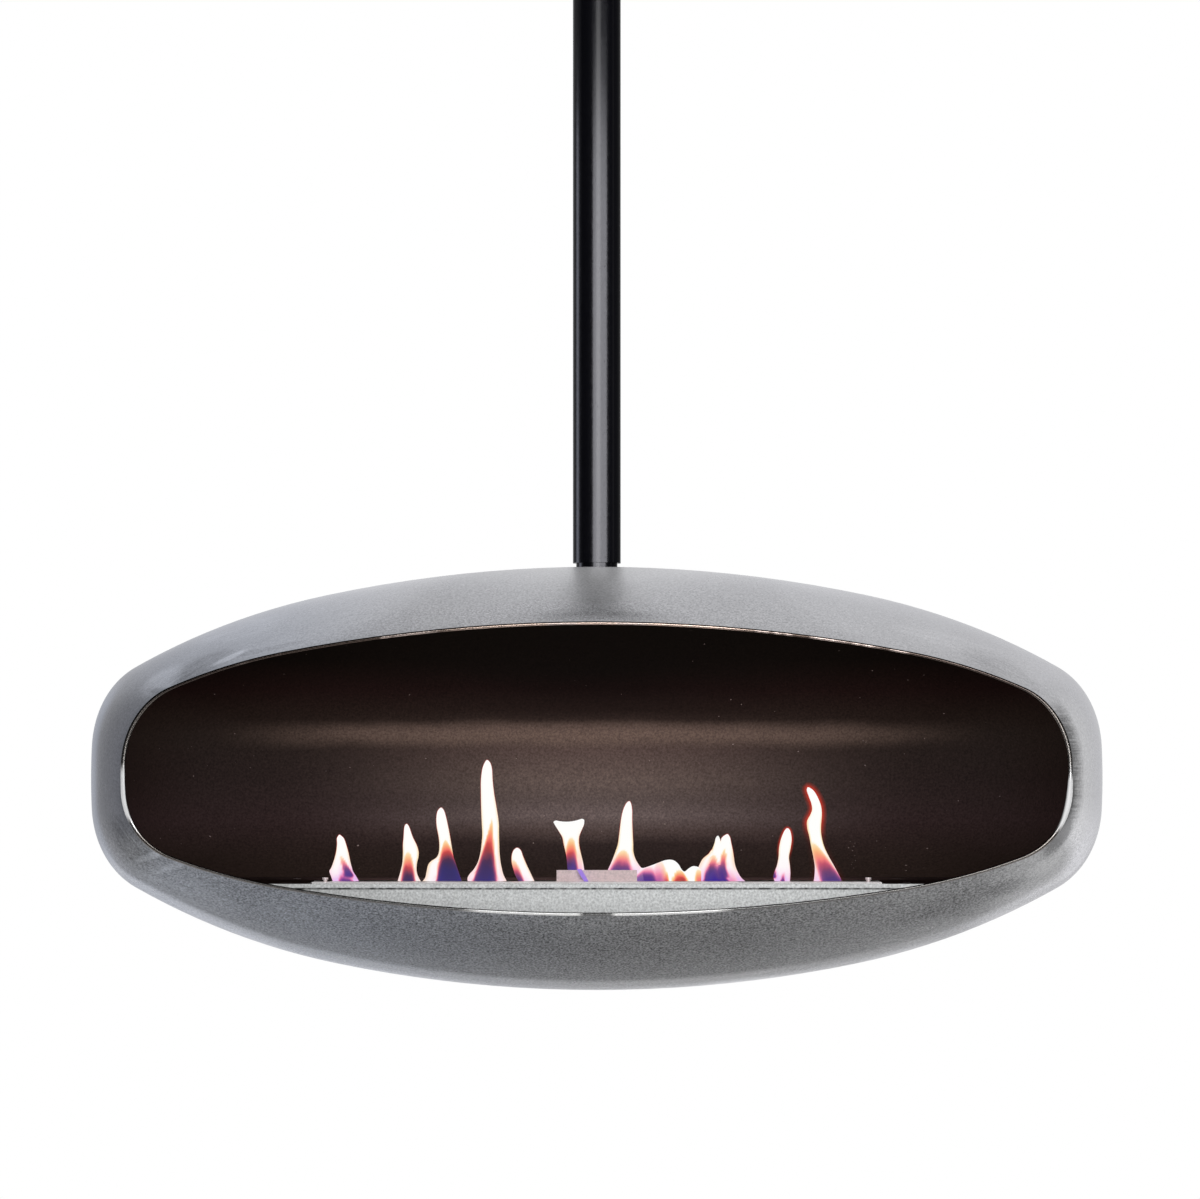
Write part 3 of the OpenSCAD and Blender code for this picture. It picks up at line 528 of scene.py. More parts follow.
# What those colours are multiplied by near the root, and how dense the gas is by how unburnt it is
FLAME_ROOT_TINT = [
    (0.0, (1.0, 1.0, 1.0)), (0.45, (1.0, 0.95, 0.96)), (0.70, (0.97, 0.78, 0.90)), (1.0, (0.82, 0.55, 0.92))]
FLAME_DENSITY = [
    (0.0, (1.0, 1.0, 1.0)), (0.3, (0.95, 0.95, 0.95)), (0.6, (0.85, 0.85, 0.85)), (1.0, (0.88, 0.88, 0.88))]


def glow(t, colour, density):
    """Light of one colour, seen through where the gas is thin."""
    light = node(t, "Emission", {"Color": colour, "Strength": 1.0}).outputs[0]
    clear = node(t, "BsdfTransparent").outputs[0]
    surface(t, node(t, "MixShader", {0: density, 1: clear, 2: light}).outputs[0])


def fire(name):
    """Burning gas: colour by the stored depth into the unburnt zone, from white-hot to blue."""
    m, t, b = material(name)
    t.nodes.remove(b)
    depth = node(t, "Attribute", attribute_name="unburnt").outputs["Fac"]
    low = node(t, "Attribute", attribute_name="low").outputs["Fac"]
    wisp = noise(t, place(t, (1, 1, 0.5)), 160.0)
    depth = times(t, depth, spread(t, wisp, 0.95, 1.05))
    colour = mix(t, remap(t, low, 0.0, 0.6), ramp(t, depth, FLAME_WARM), ramp(t, depth, FLAME_VIOLET))
    glow(t, mix(t, 1.0, colour, ramp(t, low, FLAME_ROOT_TINT), "MULTIPLY"), ramp(t, depth, FLAME_DENSITY))
    return m


def haze(name, colour, density):
    """Thin glowing gas, as dense as its stored share of the most."""
    m, t, b = material(name)
    t.nodes.remove(b)
    wisp = noise(t, place(t), 120.0, 1.0)
    share = node(t, "Attribute", attribute_name="unburnt").outputs["Fac"]
    glow(t, mix(t, wisp, colour, tuple(c * 0.7 for c in colour)), times(t, share, density))
    return m


# ---------------------------------------------------------------- pieces
def piece(name, verts, faces, body, mats, index=None):
    """A smooth-shaded mesh that rides on a body; index gives each face's material."""
    mesh = bpy.data.meshes.new(name)
    mesh.from_pydata([tuple(v) for v in verts], [], faces)
    for m in mats:
        mesh.materials.append(m)
    if index:
        mesh.polygons.foreach_set("material_index", index)
    mesh.polygons.foreach_set("use_smooth", [True] * len(faces))
    mesh.update()
    obj = bpy.data.objects.new(name, mesh)
    bpy.context.scene.collection.objects.link(obj)
    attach(obj, body)
    return obj


def strips(rows, n, closed=True):
    """Faces between a number of rows of n points each."""
    out = []
    for i in range(rows - 1):
        for j in range(n if closed else n - 1):
            k = (j + 1) % n
            out.append((i * n + j, i * n + k, (i + 1) * n + k, (i + 1) * n + j))
    return out


def oval(v, n):
    return max(0.0, 1 - abs(v) ** n) ** (1 / n)


def smooth_step(t):
    t = min(1.0, max(0.0, t))
    return t * t * (3 - 2 * t)


# ---------------------------------------------------------------- the body
ARC_STEPS = (10, 12, 18, 6)  # points on the four arcs, from the top to the side
FRONT_RINGS, BACK_RINGS, LAST_RING = 26, 40, 88.5  # rings of points, and the last one's angle, in degrees
LIP_SOFT = 0.0009  # how far the cut edge's corners are rounded back
# Rows over the cut edge: share of the way across it from the outside, and share of LIP_SOFT it lies back
LIP = ((0.0, 1.0), (0.12, 0.4), (0.3, 0.06), (0.5, 0.0), (0.7, 0.06), (0.88, 0.4), (1.0, 1.0))
RUBBED_X, RUBBED_Z = 0.50, -0.028  # where the cut edge is polished wide, from the body's middle
OUTSIDE, CUT_EDGE, INSIDE = range(3)  # the skin's materials


def quarter(share):
    """A quarter outline of four arcs from the middle of the top to the side, scaled to one by one."""
    r = [a + (b - a) * share for a, b in zip(SECTION_R, MOUTH_R)]
    top, shoulder, side = (a + (b - a) * share for a, b in zip(SECTION_A, MOUTH_A))
    heading = [math.radians(v) for v in (0, top, top + shoulder, 90 - side, 90)]
    x = z = 0.0
    pts = [(0.0, 0.0)]
    for i, steps in enumerate(ARC_STEPS):
        start, end = heading[i], heading[i + 1]
        for k in range(1, steps + 1):
            to = start + (end - start) * k / steps
            right, up = math.sin(to) - math.sin(start), math.cos(to) - math.cos(start)
            pts.append((x + r[i] * right, z + r[i] * up))
        x, z = pts[-1]
    return [(px / x, 1 - pz / z) for px, pz in pts]


def body_ring(y, inset):
    """The body's whole section at y, from the middle of the top to the right and round."""
    share = smooth_step(abs(y) / FRONT_D)
    rise = MOUTH_RISE * share if y < 0 else 0.0
    v = y / ((FRONT_D / MOUTH_RATIO if y < 0 else BACK_D) - inset)
    w = (BODY_W / 2 - inset) * oval(v, PLAN_N)
    h = (BODY_H / 2 - inset) * oval(v, SIDE_N)
    q = quarter(share)
    up, down = h + rise, h - rise
    right = [(w * x, up * z) for x, z in q] + [(w * x, -down * z) for x, z in reversed(q[:-1])]
    left = [(-x, z) for x, z in reversed(right[1:-1])]
    return [(x, y, MID_Z + z) for x, z in right + left]


def body_rings(inset):
    """Sections from the opening to the nose, closer together where the body closes."""
    front, back = FRONT_D / MOUTH_RATIO - inset, BACK_D - inset
    start = math.asin(FRONT_D / front)
    ys = [-front * math.sin(start * (1 - i / FRONT_RINGS)) for i in range(FRONT_RINGS)]
    ys += [back * math.sin(math.radians(LAST_RING * i / BACK_RINGS)) for i in range(BACK_RINGS + 1)]
    return [body_ring(y, inset) for y in ys]


def rubbed(point):
    """1 where the cut edge is polished widest, low at the right of the opening, and 0.3 at the left."""
    x, _, z = point
    at_side = smooth_step((abs(x) - RUBBED_X) / 0.03)
    at_height = 1 - smooth_step(abs(z - MID_Z - RUBBED_Z) / 0.040)
    return at_side * at_height * (1.0 if x > 0 else 0.3)


def lip_row(outer, inner, across, back):
    """One row of points over the cut edge, from its outer corner to its inner one."""
    rounding = Vector((0, LIP_SOFT * back, 0))
    return [tuple(Vector(a).lerp(Vector(b), across * (1 + 0.5 * rubbed(a))) + rounding)
            for a, b in zip(outer, inner)]


def body_skin(mats):
    """Both shells as one sheet: outside, cut edge and inside, each with its own material."""
    outer, inner = body_rings(0.0), body_rings(STEEL_T)
    n = len(outer[0])
    lip = [lip_row(outer[0], inner[0], across, back) for across, back in LIP]
    rows = list(reversed(outer[1:])) + lip + inner[1:]
    verts = [p for row in rows for p in row] + [(0, BACK_D, MID_Z), (0, BACK_D - STEEL_T, MID_Z)]
    faces = strips(len(rows), n)
    kinds = [OUTSIDE] * ((len(outer) - 1) * n)
    kinds += [CUT_EDGE] * ((len(lip) - 1) * n)
    kinds += [INSIDE] * ((len(inner) - 1) * n)
    nose = len(verts) - 2
    last = (len(rows) - 1) * n
    for j in range(n):
        k = (j + 1) % n
        faces += [(nose, k, j), (nose + 1, last + j, last + k)]
        kinds += [OUTSIDE, INSIDE]
    return piece("body_skin", verts, faces, "firebox", mats, kinds)


def cut_hole(obj, centre, radius, half):
    """Cuts a round hole down Z with an exact boolean, applied at once."""
    bm = bmesh.new()
    bmesh.ops.create_cone(bm, cap_ends=True, segments=96, radius1=radius, radius2=radius, depth=2 * half)
    bmesh.ops.translate(bm, verts=bm.verts, vec=centre)
    tool_mesh = bpy.data.meshes.new("hole_tool")
    bm.to_mesh(tool_mesh)
    bm.free()
    tool = bpy.data.objects.new("hole_tool", tool_mesh)
    bpy.context.scene.collection.objects.link(tool)
    mod = obj.modifiers.new("hole", "BOOLEAN")
    mod.operation = "DIFFERENCE"
    mod.solver = "EXACT"
    mod.object = tool
    deps = bpy.context.evaluated_depsgraph_get()
    mesh = bpy.data.meshes.new_from_object(obj.evaluated_get(deps))
    obj.modifiers.clear()
    obj.data = mesh
    bpy.data.objects.remove(tool)
    bpy.data.meshes.remove(tool_mesh)


# ---------------------------------------------------------------- the fire
FLAME_POINTS, RIDGE_POINTS = 32, 16  # round a tongue of fire, and over the arch of a low wave
FLAME_FOOT = -0.5  # mm over the burner's plate, where every flame starts
FLAME_ROOT = 36.0  # mm over the burner's plate in which the fire is violet
FLAME_TIP = 0.25  # mm, half the depth that is left at a tongue's tip
TIP_FORWARD = 0.001  # how far a tip without a fringe lies in front of its flame
FLANK_VIOLET = 0.45  # how violet the flanks of the dark zones are
WAVE_WARM = 72.0  # mm to the right of the middle past which the wave is yellow and red
FRINGE_IN = 1.2  # mm by which the red fringe reaches in behind its tongue
FRINGE = ((0.0, 1.0), (0.25, 0.62), (0.55, 0.24), (1.0, 0.0))  # share of the way out, density
ZONE_TAPER = 0.55  # how fast a dark zone's sides close towards its top, where the zone doesn't say


def curve_rows(rows, per=5):
    """Rows of numbers joined by Catmull-Rom curves, with a few steps from each row to the next."""
    def between(u, a, b, c, d):
        bend, twist = 2 * a - 5 * b + 4 * c - d, 3 * b - a - 3 * c + d
        return 0.5 * (2 * b + (c - a) * u + bend * u * u + twist * u ** 3)

    out = []
    for i in range(len(rows) - 1):
        near = [rows[max(0, min(len(rows) - 1, i + k))] for k in (-1, 0, 1, 2)]
        for s in range(per):
            out.append(tuple(between(s / per, *values) for values in zip(*near)))
    return out + [rows[-1]]


def unburnt(x, h, zones):
    """How deep a place lies in the dark zones, 0 outside and 1 at their heart, and how far on their flanks.

    A zone has its middle and half width at the root, its middle at the top, the heights of its root and
    top, its depth and, if its sides aren't the usual ones, how they taper.
    """
    best = flank = 0.0
    for x0, half, x1, root, top, deep, *taper in zones:
        t = (h - root) / (top - root)
        if t >= 1:
            continue
        base = max(0.0, 1 + t * 4) if t < 0 else 1.0
        t = max(0.0, t)
        q = abs(x - (x0 + (x1 - x0) * t)) / (half * (1 - t) ** (taper[0] if taper else ZONE_TAPER))
        best = max(best, deep * base * max(0.0, 1 - q ** 4) * (1 - t) ** 0.9)
        flank = max(flank, min(1.0, q ** 3) * (1 - t) * min(1.0, max(0.0, 2.1 - q)))
    return best, flank


def rim_depth(u, v):
    """The faint rim of a tongue's sides, u from -1 to 1 across it and v from 0 to 1 up it."""
    return 0.11 * smooth_step((abs(u) - 0.65) / 0.35) * smooth_step((1 - v) / 0.6)


def near_root(z):
    """1 at the burner's plate and 0 from FLAME_ROOT up."""
    return max(0.0, 1 - max(0.0, z) / FLAME_ROOT)


def store(obj, name, values):
    """A value for each point of the mesh, which the materials read by its name."""
    obj.data.attributes.new(name, "FLOAT", "POINT").data.foreach_set("value", values)


def put_out(obj):
    """Gives the flame a mesh of its own."""
    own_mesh(obj)


def burning(name, verts, faces, mat, dark, near=None):
    """A piece of fire on the burner, with its colours' values stored in its points."""
    obj = piece(name, verts, faces, "burner", [mat])
    store(obj, "unburnt", dark)
    if near:
        store(obj, "low", near)
    put_out(obj)


def tongue_caps(rows, n):
    """The flat root of a tongue and its top, which is closed by strips from side to side."""
    first = (rows - 1) * n
    caps = [tuple(reversed(range(n)))]
    for j in range(1, n // 2 - 1):
        caps.append((first + j, first + j + 1, first + n - j - 1, first + n - j))
    half = first + n // 2
    return caps + [(first, first + 1, first + n - 1), (half - 1, half, half + 1)]


def flame(name, rows, zones, mat, low, deep=9.0, y=SLOT_Y, top=None):
    """One tongue of fire: an oval section that follows its outline upwards.

    low is how violet its root is, deep is half its depth in mm, and top shapes a top that isn't a tip.
    """
    rows = curve_rows(rows)
    verts, dark, near = [], [], []
    for i, (h, left, right) in enumerate(rows):
        v = i / (len(rows) - 1)
        half = (right - left) / 2
        thick = deep * math.sqrt(max(0.0, 1 - v ** 3)) + FLAME_TIP
        if top is None:
            thick = min(thick, half * 0.95)
        for j in range(FLAME_POINTS):
            turn = 2 * math.pi * j / FLAME_POINTS
            u = math.cos(turn)
            x = (left + right) / 2 + half * u
            z = h + (top(u) * v ** 8 if top else 0.0)
            verts.append((x * MM, y + thick * math.sin(turn) * MM, PLATE_Z + z * MM))
            depth, flank = unburnt(x, z, zones)
            dark.append(max(depth, rim_depth(u, v)))
            near.append(min(1.0, low * near_root(z) + FLANK_VIOLET * flank))
    faces = strips(len(rows), FLAME_POINTS) + tongue_caps(len(rows), FLAME_POINTS)
    burning(name, verts, faces, mat, dark, near)


def halo(name, rows, mat, out):
    """The thin red fringe round a tongue, brightest at its upper part and gone at the fringe's own edge."""
    tip = rows[-1][0]
    rows = curve_rows(rows)
    line = [Vector((left, h)) for h, left, _ in rows]
    line += [Vector((right, h)) for h, _, right in reversed(rows)]
    verts, share = [], []
    for away, density in [(-FRINGE_IN, 1.0)] + [(part * out, density) for part, density in FRINGE]:
        for i, p in enumerate(line):
            along = (line[min(len(line) - 1, i + 1)] - line[max(0, i - 1)]).normalized()
            q = p + Vector((-along.y, along.x)) * away
            verts.append((q.x * MM, SLOT_Y, PLATE_Z + max(FLAME_FOOT, q.y) * MM))
            share.append(density * (0.05 + 0.95 * smooth_step((p.y / tip - 0.40) / 0.30)))
    burning(name, verts, strips(len(FRINGE) + 1, len(line), closed=False), mat, share)


def ridge(name, crest, zones, mat, deep=8.0):
    """A low wave of fire along the slot: an arched section that follows a crest of (x, height) in mm."""
    crest = curve_rows(crest)
    verts, dark, near = [], [], []
    for x, h in crest:
        for j in range(RIDGE_POINTS + 1):
            turn = math.pi * j / RIDGE_POINTS
            z = FLAME_FOOT + (h - FLAME_FOOT) * math.sin(turn) ** 0.7
            verts.append((x * MM, SLOT_Y + deep * math.cos(turn) * MM, PLATE_Z + z * MM))
            dark.append(unburnt(x, z, zones)[0])
            near.append((1 - smooth_step((x - WAVE_WARM) / 12)) * near_root(z))
    burning(name, verts, strips(len(crest), RIDGE_POINTS + 1, closed=False), mat, dark, near)


# Dark zones that flame i shares with its second, lower tip, which has no fringe and lies in front of it
I_ZONES = [
    (135.0, 11.5, 137.0, 0, 33, 1.1), (147.0, 7.5, 149.5, 0, 41, 0.95), (158.5, 9.0, 156.0, 0, 17, 0.30)]
# Each flame's rows of (height, left, right) in mm over the burner's plate and from the middle, its dark
# zones, how violet its root is, and how wide its red fringe is in mm
FLAMES = {
    "a": ([(-0.5, -309.9, -278.9), (5.8, -312.1, -282.4), (12.5, -314.3, -286.6), (16.3, -312.4, -287.8),
           (22.6, -309.9, -289.5), (34.0, -306.6, -291.9), (44.0, -305.3, -294.7), (51.3, -305.4, -297.5),
           (55.4, -303.0, -301.9)],
          [(-291.0, 6.2, -301, 8.0, 32, 0.80), (-293, 12.0, -298, -4, 13, 0.85)], 0.85, 0.9),
    "b": ([(-0.5, -234.5, -206.1), (5.8, -232.6, -209.7), (12.8, -230.6, -211.8), (21.4, -228.6, -211.5),
           (29.3, -228.0, -209.7), (36.1, -227.8, -209.6), (44.0, -227.8, -212.1), (52.9, -227.0, -216.5),
           (64.2, -226.2, -220.4), (68.1, -224.3, -222.9)],
          [(-221.5, 9.6, -221.5, 0, 37, 0.84, 0.45)], 0.10, 0.9),
    "c": ([(-0.5, -206.1, -158.5), (4.6, -201.9, -160.1), (11.3, -200.2, -162.3), (19.2, -198.5, -165.0),
           (24.2, -195.1, -166.7), (28.8, -188.4, -168.3), (34.9, -185.6, -169.5), (44.0, -185.0, -171.0),
           (54.1, -186.0, -172.7), (65.4, -188.1, -174.9), (75.5, -188.5, -177.1), (83.3, -187.1, -179.4),
           (87.2, -183.8, -182.2)],
          [(-172.0, 18.0, -178.0, 0, 51, 1.35, 0.75)], 0.15, 0.9),
    "d": ([(-0.5, -151.6, -105.1), (4.6, -151.9, -107.9), (9.3, -149.5, -110.0), (14.6, -144.7, -111.4),
           (23.0, -139.9, -113.1), (33.7, -136.9, -114.3), (44.6, -135.4, -114.7), (56.5, -134.6, -115.0),
           (69.7, -135.2, -115.3), (86.5, -135.8, -117.8), (103.3, -136.1, -120.7), (119.0, -136.1, -122.5),
           (132.1, -134.6, -123.2), (139.3, -132.2, -125.0), (143.2, -129.7, -128.0)],
          [(-131.5, 16.0, -122.5, 0, 78, 1.0, 1.15)], 0.20, 0.9),
    "e": ([(-0.5, -90.9, -72.6), (7.4, -95.6, -76.4), (14.6, -97.9, -79.8), (21.7, -99.8, -83.2),
           (30.2, -100.0, -86.8), (36.8, -98.0, -89.2), (40.0, -94.7, -92.6)],
          [(-95.0, 11.5, -98.5, 0, 27, 0.80)], 0.30, 0.9),
    "g": ([(-0.5, 9.6, 55.5), (8.1, 10.8, 54.3), (15.2, 13.5, 53.1), (20.1, 15.8, 49.4),
           (27.4, 18.9, 45.3), (35.9, 22.0, 43.0), (44.2, 24.7, 42.8), (52.7, 26.0, 42.3),
           (63.1, 27.3, 41.8), (73.9, 28.7, 41.5), (84.0, 30.9, 41.5), (91.5, 34.1, 40.4),
           (94.7, 37.1, 38.8)],
          [(26.5, 18.5, 31.5, 2, 39, 0.95)], 0.85, 1.0),
    "i": ([(-0.5, 116.0, 176.4), (4.3, 116.6, 170.4), (11.6, 117.8, 165.7), (20.1, 120.7, 162.5),
           (27.4, 124.8, 161.3), (32.7, 131.2, 160.5), (38.0, 135.4, 159.6), (45.3, 144.3, 158.0),
           (52.2, 147.2, 156.6), (56.1, 152.6, 154.2)],
          I_ZONES, 0.70, 1.0),
    "i_tip": ([(20.1, 126.0, 156.0), (28.1, 131.9, 153.0), (38.7, 135.8, 149.5), (46.3, 138.5, 146.0),
               (51.0, 139.6, 144.6), (54.2, 141.5, 142.9)],
              I_ZONES, 0.70, 0.0),
    "j": ([(-0.5, 209.5, 226.9), (5.6, 207.7, 227.3), (11.6, 208.9, 227.5), (19.4, 211.8, 226.9),
           (29.6, 213.7, 225.9), (39.8, 214.3, 227.8), (50.5, 216.6, 229.0), (59.6, 220.3, 227.5),
           (63.1, 223.2, 225.0)],
          [(218.0, 3.2, 219.5, 0, 13, 0.7), (207.5, 3.6, 209.5, 6, 18, 0.75)], 0.9, 3.2),
    "k": ([(-0.5, 254.5, 288.2), (5.6, 255.7, 285.9), (17.6, 256.3, 279.6), (29.6, 254.5, 272.9),
           (41.6, 252.0, 267.3), (53.6, 249.7, 264.2), (63.1, 247.4, 263.5), (71.6, 247.2, 264.0),
           (78.6, 250.8, 264.5), (85.1, 253.1, 264.2), (91.9, 252.3, 262.8), (100.4, 249.3, 259.2),
           (107.6, 246.9, 254.5), (111.2, 247.7, 249.4)],
          [(277.0, 15.5, 252.0, 0, 49, 0.76, 0.60)], 0.45, 6.5),
}
# The forked flame left of the middle
FORKED = [
    (-0.5, -33.4, -9.8), (6.9, -33.9, -12.1), (14.0, -34.3, -14.6), (23.0, -35.0, -16.2),
    (32.8, -36.2, -18.6), (43.4, -38.6, -20.8), (52.3, -40.4, -20.9), (59.0, -44.0, -18.8),
    (67.4, -48.8, -15.2), (73.2, -51.1, -14.7)]
FORKED_ZONES = [(-31.0, 11.0, -30.0, 0, 54, 1.10, 0.42), (-20.5, 6.5, -22.0, 0, 44, 0.30, 0.35)]
# The low wave of fire right of the middle: its crest as (x, height)
WAVE = [
    (46.1, 16.3), (50.8, 17.2), (54.5, 16.3), (63.0, 19.0), (71.4, 22.2), (79.7, 25.3), (87.1, 26.1),
    (92.4, 24.2), (96.5, 20.1), (99.7, 14.8), (103.3, 12.2), (108.1, 15.9), (113.3, 18.5),
    (118.6, 17.7), (122.5, 16.3)]
WAVE_ZONES = [
    (56, 17, 62, 0, 19, 0.90), (73, 12, 74, 0, 27, 0.46), (81.5, 3.6, 81.5, 0, 14, 0.60),
    (98, 10.5, 97, 0, 15, 0.66), (123, 8.5, 119, 0, 16, 0.50)]
# The violet streak in front of the lid's tab, as rows over the slot's plate
STREAK = [(0.2015, -13.5, -8.9), (5.2, -17.0, -11.5), (10.2, -20.5, -13.8), (16.0, -24.0, -16.4)]
STREAK_ZONES = [(-11.2, 3.8, -45.4, -1, 60, 1.1)]


def forked_top(u):
    """How many mm the forked flame's horns rise over its last row; u is -1 at its left, 1 at its right."""
    return -2.4 + 1.2 * u + 3.6 * u * u - 3.0 * max(0.0, (abs(u) - 0.8) / 0.2) ** 2


def make_fire():
    """Every tongue of fire with its red fringe, the low wave and the violet streak by the tab."""
    mat, red = fire("flame"), haze("flame_fringe", (0.90, 0.055, 0.025), 0.72)
    for key, (rows, zones, low, fringe) in FLAMES.items():
        flame("flame_" + key, rows, zones, mat, low, y=SLOT_Y if fringe else SLOT_Y - TIP_FORWARD)
        if fringe:
            halo("flame_fringe_" + key, rows, red, fringe)
    flame("flame_f", FORKED, FORKED_ZONES, mat, 0.65, deep=6.0, top=forked_top)
    halo("flame_fringe_f", FORKED[:-1], red, 0.9)
    ridge("flame_h", WAVE, WAVE_ZONES, mat)
    veil = haze("flame_veil", (0.42, 0.26, 0.90), 0.85)
    flame("flame_streak", STREAK, STREAK_ZONES, veil, 0.0, deep=0.8, y=TAB[0][1] - 0.0022)


# ---------------------------------------------------------------- make everything
steel, coat, edge = body_steel(), dark_coat_painted_glow(), bare_edge()
skin = body_skin([steel, edge, coat])
cut_hole(skin, (0, 0, CROWN_Z), CROWN_HOLE_R, half=0.02)
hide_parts("upper_shell", "lower_shell")
make_fire()

SHELF_SHADOW_LINE_Z = MID_Z - 0.1265  # the height of the thin painted shadow line between the shelf's lip and the skirt
black = satin_black()
# Colour, roughness, the grain's strength and lumps to the metre, bump, metallic and the painted shadow
# line's height
shelf_steel = grained_metal("shelf_steel", (0.72, 0.735, 0.73), 0.45, 0.26, 400.0, 0.15, 0.5, SHELF_SHADOW_LINE_Z)
lid_steel = grained_metal("lid_steel", (1.0, 0.965, 0.96), 0.40, 0.14, 420.0, 0.12, 0.35)
tab_steel = grained_metal("tab_steel", (0.72, 0.58, 0.58), 0.45, 0.14, 400.0, 0.10, 0.4)
dark_topped_shelf = dark_topped("dark_topped_shelf", shelf_steel)
dark_topped_plate = dark_topped("dark_topped_plate", lid_steel)
bright = grained_metal("bright_steel", (0.70, 0.70, 0.71), 0.25, 0.05, 900.0, 0.05)
pin_steel = grained_metal("pin_steel", (0.98, 0.86, 0.86), 0.4, 0.05, 900.0, 0.05, 0.4)
bronze = grained_metal("bronze", (0.62, 0.36, 0.16), 0.3, 0.08, 700.0, 0.05)
rubber = grained_metal("black_ring", (0.02, 0.02, 0.02), 0.7, 0.2, 900.0, 0.2, 0.0)
FINISH = {
    "ceiling_plate": black, "pole": black, "ceiling_cover": black, "thrust_ring": black, "pivot_boss": black,
    "cover_friction_ring": rubber, "nut_cover": coat, "pivot_bush": bronze, "pole_spigot": bright,
    "pole_lock_screws": bright, "pole_end_plug": bright, "swivel_stem": bright, "nut_washer": bright,
    "castle_nut": bright, "split_pin": bright, "nut_cover_screws": bright, "shelf_screws": bright,
    "guide_pin_nuts": bright, "guide_pins": pin_steel, "burner_shelf": dark_topped_shelf,
    "front_skirt": shelf_steel, "burner_ledges": shelf_steel, "shelf_brackets": shelf_steel,
    "burner_top": dark_topped_plate, "burner_tank": lid_steel, "wick_pad": ceramic(), "burner_lid": lid_steel,
    "lid_tab": tab_steel,
}
for name, mat in FINISH.items():
    for slot in frame["nodes"][name].material_slots:
        slot.material = mat

# ---------------------------------------------------------------- floor, light, camera
FLOOR_Z, FLOOR_R = -2.05, 2.0
FLOOR_FADE = (1.3, 1.95)  # distances from the middle between which the floor fades out
CAMERA_AWAY, CAMERA_OVER = 5.0, 0.0105  # in front of the part's middle, and over the body's
CAMERA_LENS, CAMERA_SENSOR = 123.6, 36.0  # mm
CAMERA_SHIFT = (0.00267, 0.1421)  # shares of the picture's width
POLE_PARTS = ["pole", "thrust_ring", "pivot_boss", "pivot_bush"]  # what the pole's own lamps light
# What polished metal reflects, from the left of the room to its right
ROOM = [
    (0.0, (0.29, 0.295, 0.33)), (0.10, (0.34, 0.345, 0.37)), (0.25, (0.55, 0.555, 0.58)),
    (0.38, (0.66, 0.665, 0.69)), (0.48, (0.97, 0.975, 1.0)), (0.65, (0.93, 0.93, 0.95)),
    (0.80, (0.84, 0.84, 0.86)), (1.0, (1.0, 1.0, 1.0))]


def floor():
    """A pale round floor that fades out all round and is clear from its underside."""
    m, t, b = material("pale_floor")
    speck = noise(t, place(t), 60.0, 3.0)
    link(t, b, Base_Color=mix(t, speck, (0.62, 0.62, 0.61), (0.70, 0.70, 0.69)))
    b.inputs["Roughness"].default_value = 0.7
    near = ease(t, length(t, place(t, (1, 1, 0))), *FLOOR_FADE, 1.0, 0.0)
    above = math_node(t, "SUBTRACT", 1.0, node(t, "NewGeometry").outputs["Backfacing"])
    clear = node(t, "BsdfTransparent").outputs[0]
    surface(t, node(t, "MixShader", {0: times(t, near, above), 1: clear, 2: b.outputs[0]}).outputs[0])
    n = 96  # points round the floor
    turns = [2 * math.pi * i / n for i in range(n)]
    ring = [(FLOOR_R * math.cos(turn), FLOOR_R * math.sin(turn), FLOOR_Z) for turn in turns]
    mesh = bpy.data.meshes.new("floor")
    mesh.from_pydata(ring, [], [tuple(range(n))])
    mesh.materials.append(m)
    obj = bpy.data.objects.new("floor", mesh)
    bpy.context.scene.collection.objects.link(obj)


def lamp(name, at, to, size, power, colour=(1, 1, 1)):
    """A rectangular lamp of a width and height in metres, unseen by the camera."""
    data = bpy.data.lights.new(name, "AREA")
    data.shape = "RECTANGLE"
    data.size, data.size_y = size
    data.energy, data.color = power, colour
    obj = bpy.data.objects.new(name, data)
    obj.location = at
    obj.rotation_euler = (Vector(to) - Vector(at)).to_track_quat("-Z", "Y").to_euler()
    obj.visible_camera = False
    bpy.context.scene.collection.objects.link(obj)
    return obj


def only_for(light, nodes):
    """Lets a lamp light some objects alone."""
    group = bpy.data.collections.new(light.name + "_receivers")
    for name in nodes:
        group.objects.link(frame["nodes"][name])
    light.light_linking.receiver_collection = group


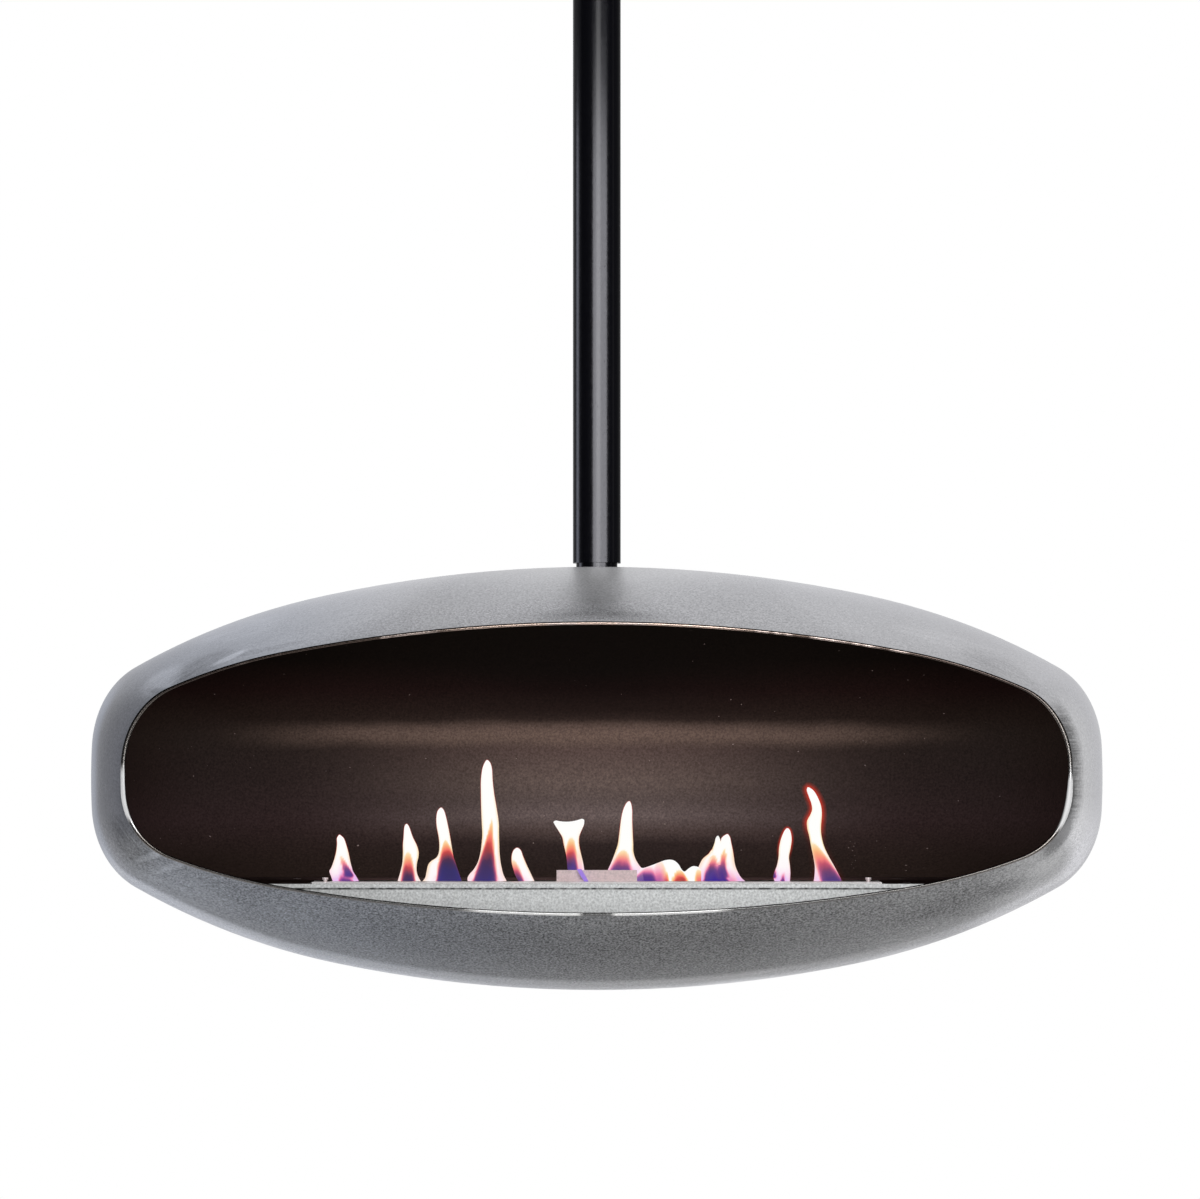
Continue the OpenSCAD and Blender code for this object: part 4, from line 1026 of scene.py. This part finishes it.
def world():
    """White to the camera; metal reflects a room that is dimmer to the left and dark in front."""
    w = bpy.data.worlds.new("studio")
    bpy.context.scene.world = w
    w.use_nodes = True
    t = w.node_tree
    for n in list(t.nodes):
        t.nodes.remove(n)
    path = node(t, "LightPath")
    x, y, _ = node(t, "SeparateXYZ", {0: node(t, "TexCoord").outputs["Generated"]}).outputs
    room = ramp(t, remap(t, x, -1.0, 1.0), ROOM)
    room = mix(t, ease(t, y, 0.04, -0.22), room, (0.02, 0.02, 0.022))
    seen = larger(t, path.outputs["Is Camera Ray"], path.outputs["Is Transmission Ray"])
    soft = node(t, "Background", {"Color": (0.45, 0.45, 0.46, 1), "Strength": 1.0}).outputs[0]
    mirrored = node(t, "Background", {"Color": room, "Strength": 1.0}).outputs[0]
    white = node(t, "Background", {"Color": (1, 1, 1, 1), "Strength": 1.0}).outputs[0]
    light = node(t, "MixShader", {0: path.outputs["Is Glossy Ray"], 1: soft, 2: mirrored}).outputs[0]
    both = node(t, "MixShader", {0: seen, 1: light, 2: white}).outputs[0]
    t.links.new(both, node(t, "OutputWorld").inputs["Surface"])


def lamps():
    """Broad soft light from above and in front, lamps for the pole's gloss, and the fire's own light."""
    middle = (0, 0, MID_Z)
    lamp("key", (0.1, -0.5, 1.5), middle, (3.2, 3.2), 36).visible_glossy = False
    lamp("fill", (0.6, -4.6, -0.2), middle, (1.6, 1.6), 60)
    gloss = [
        lamp("pole_front", (0.40, -1.44, -0.80), (0, 0, -0.80), (2.0, 1.16), 112, (0.985, 0.98, 1.06)),
        lamp("pole_left", (-1.45, 0.39, -0.92), (0, 0, -0.92), (0.52, 1.36), 8, (0.92, 0.96, 1.15)),
        lamp("pole_right", (1.48, 0.10, -0.92), (0, 0, -0.92), (0.42, 1.6), 0.9)]
    for light in gloss:
        only_for(light, POLE_PARTS)
    lamp("fire_glow", (0.0, -0.10, MID_Z - 0.045), (0, 0.5, MID_Z + 0.04), (0.62, 0.09), 3.0)


def camera():
    """Looks level at the front; its shift keeps the pole upright in the picture."""
    cam = bpy.data.objects.new("camera", bpy.data.cameras.new("camera"))
    cam.location = (0, -CAMERA_AWAY, MID_Z + CAMERA_OVER)
    cam.rotation_euler = (math.radians(90), 0, 0)
    cam.data.sensor_fit = "HORIZONTAL"
    cam.data.sensor_width, cam.data.lens = CAMERA_SENSOR, CAMERA_LENS
    cam.data.shift_x, cam.data.shift_y = CAMERA_SHIFT
    bpy.context.scene.collection.objects.link(cam)
    bpy.context.scene.camera = cam


floor()
world()
lamps()
camera()
bpy.context.scene.view_settings.view_transform = "Standard"
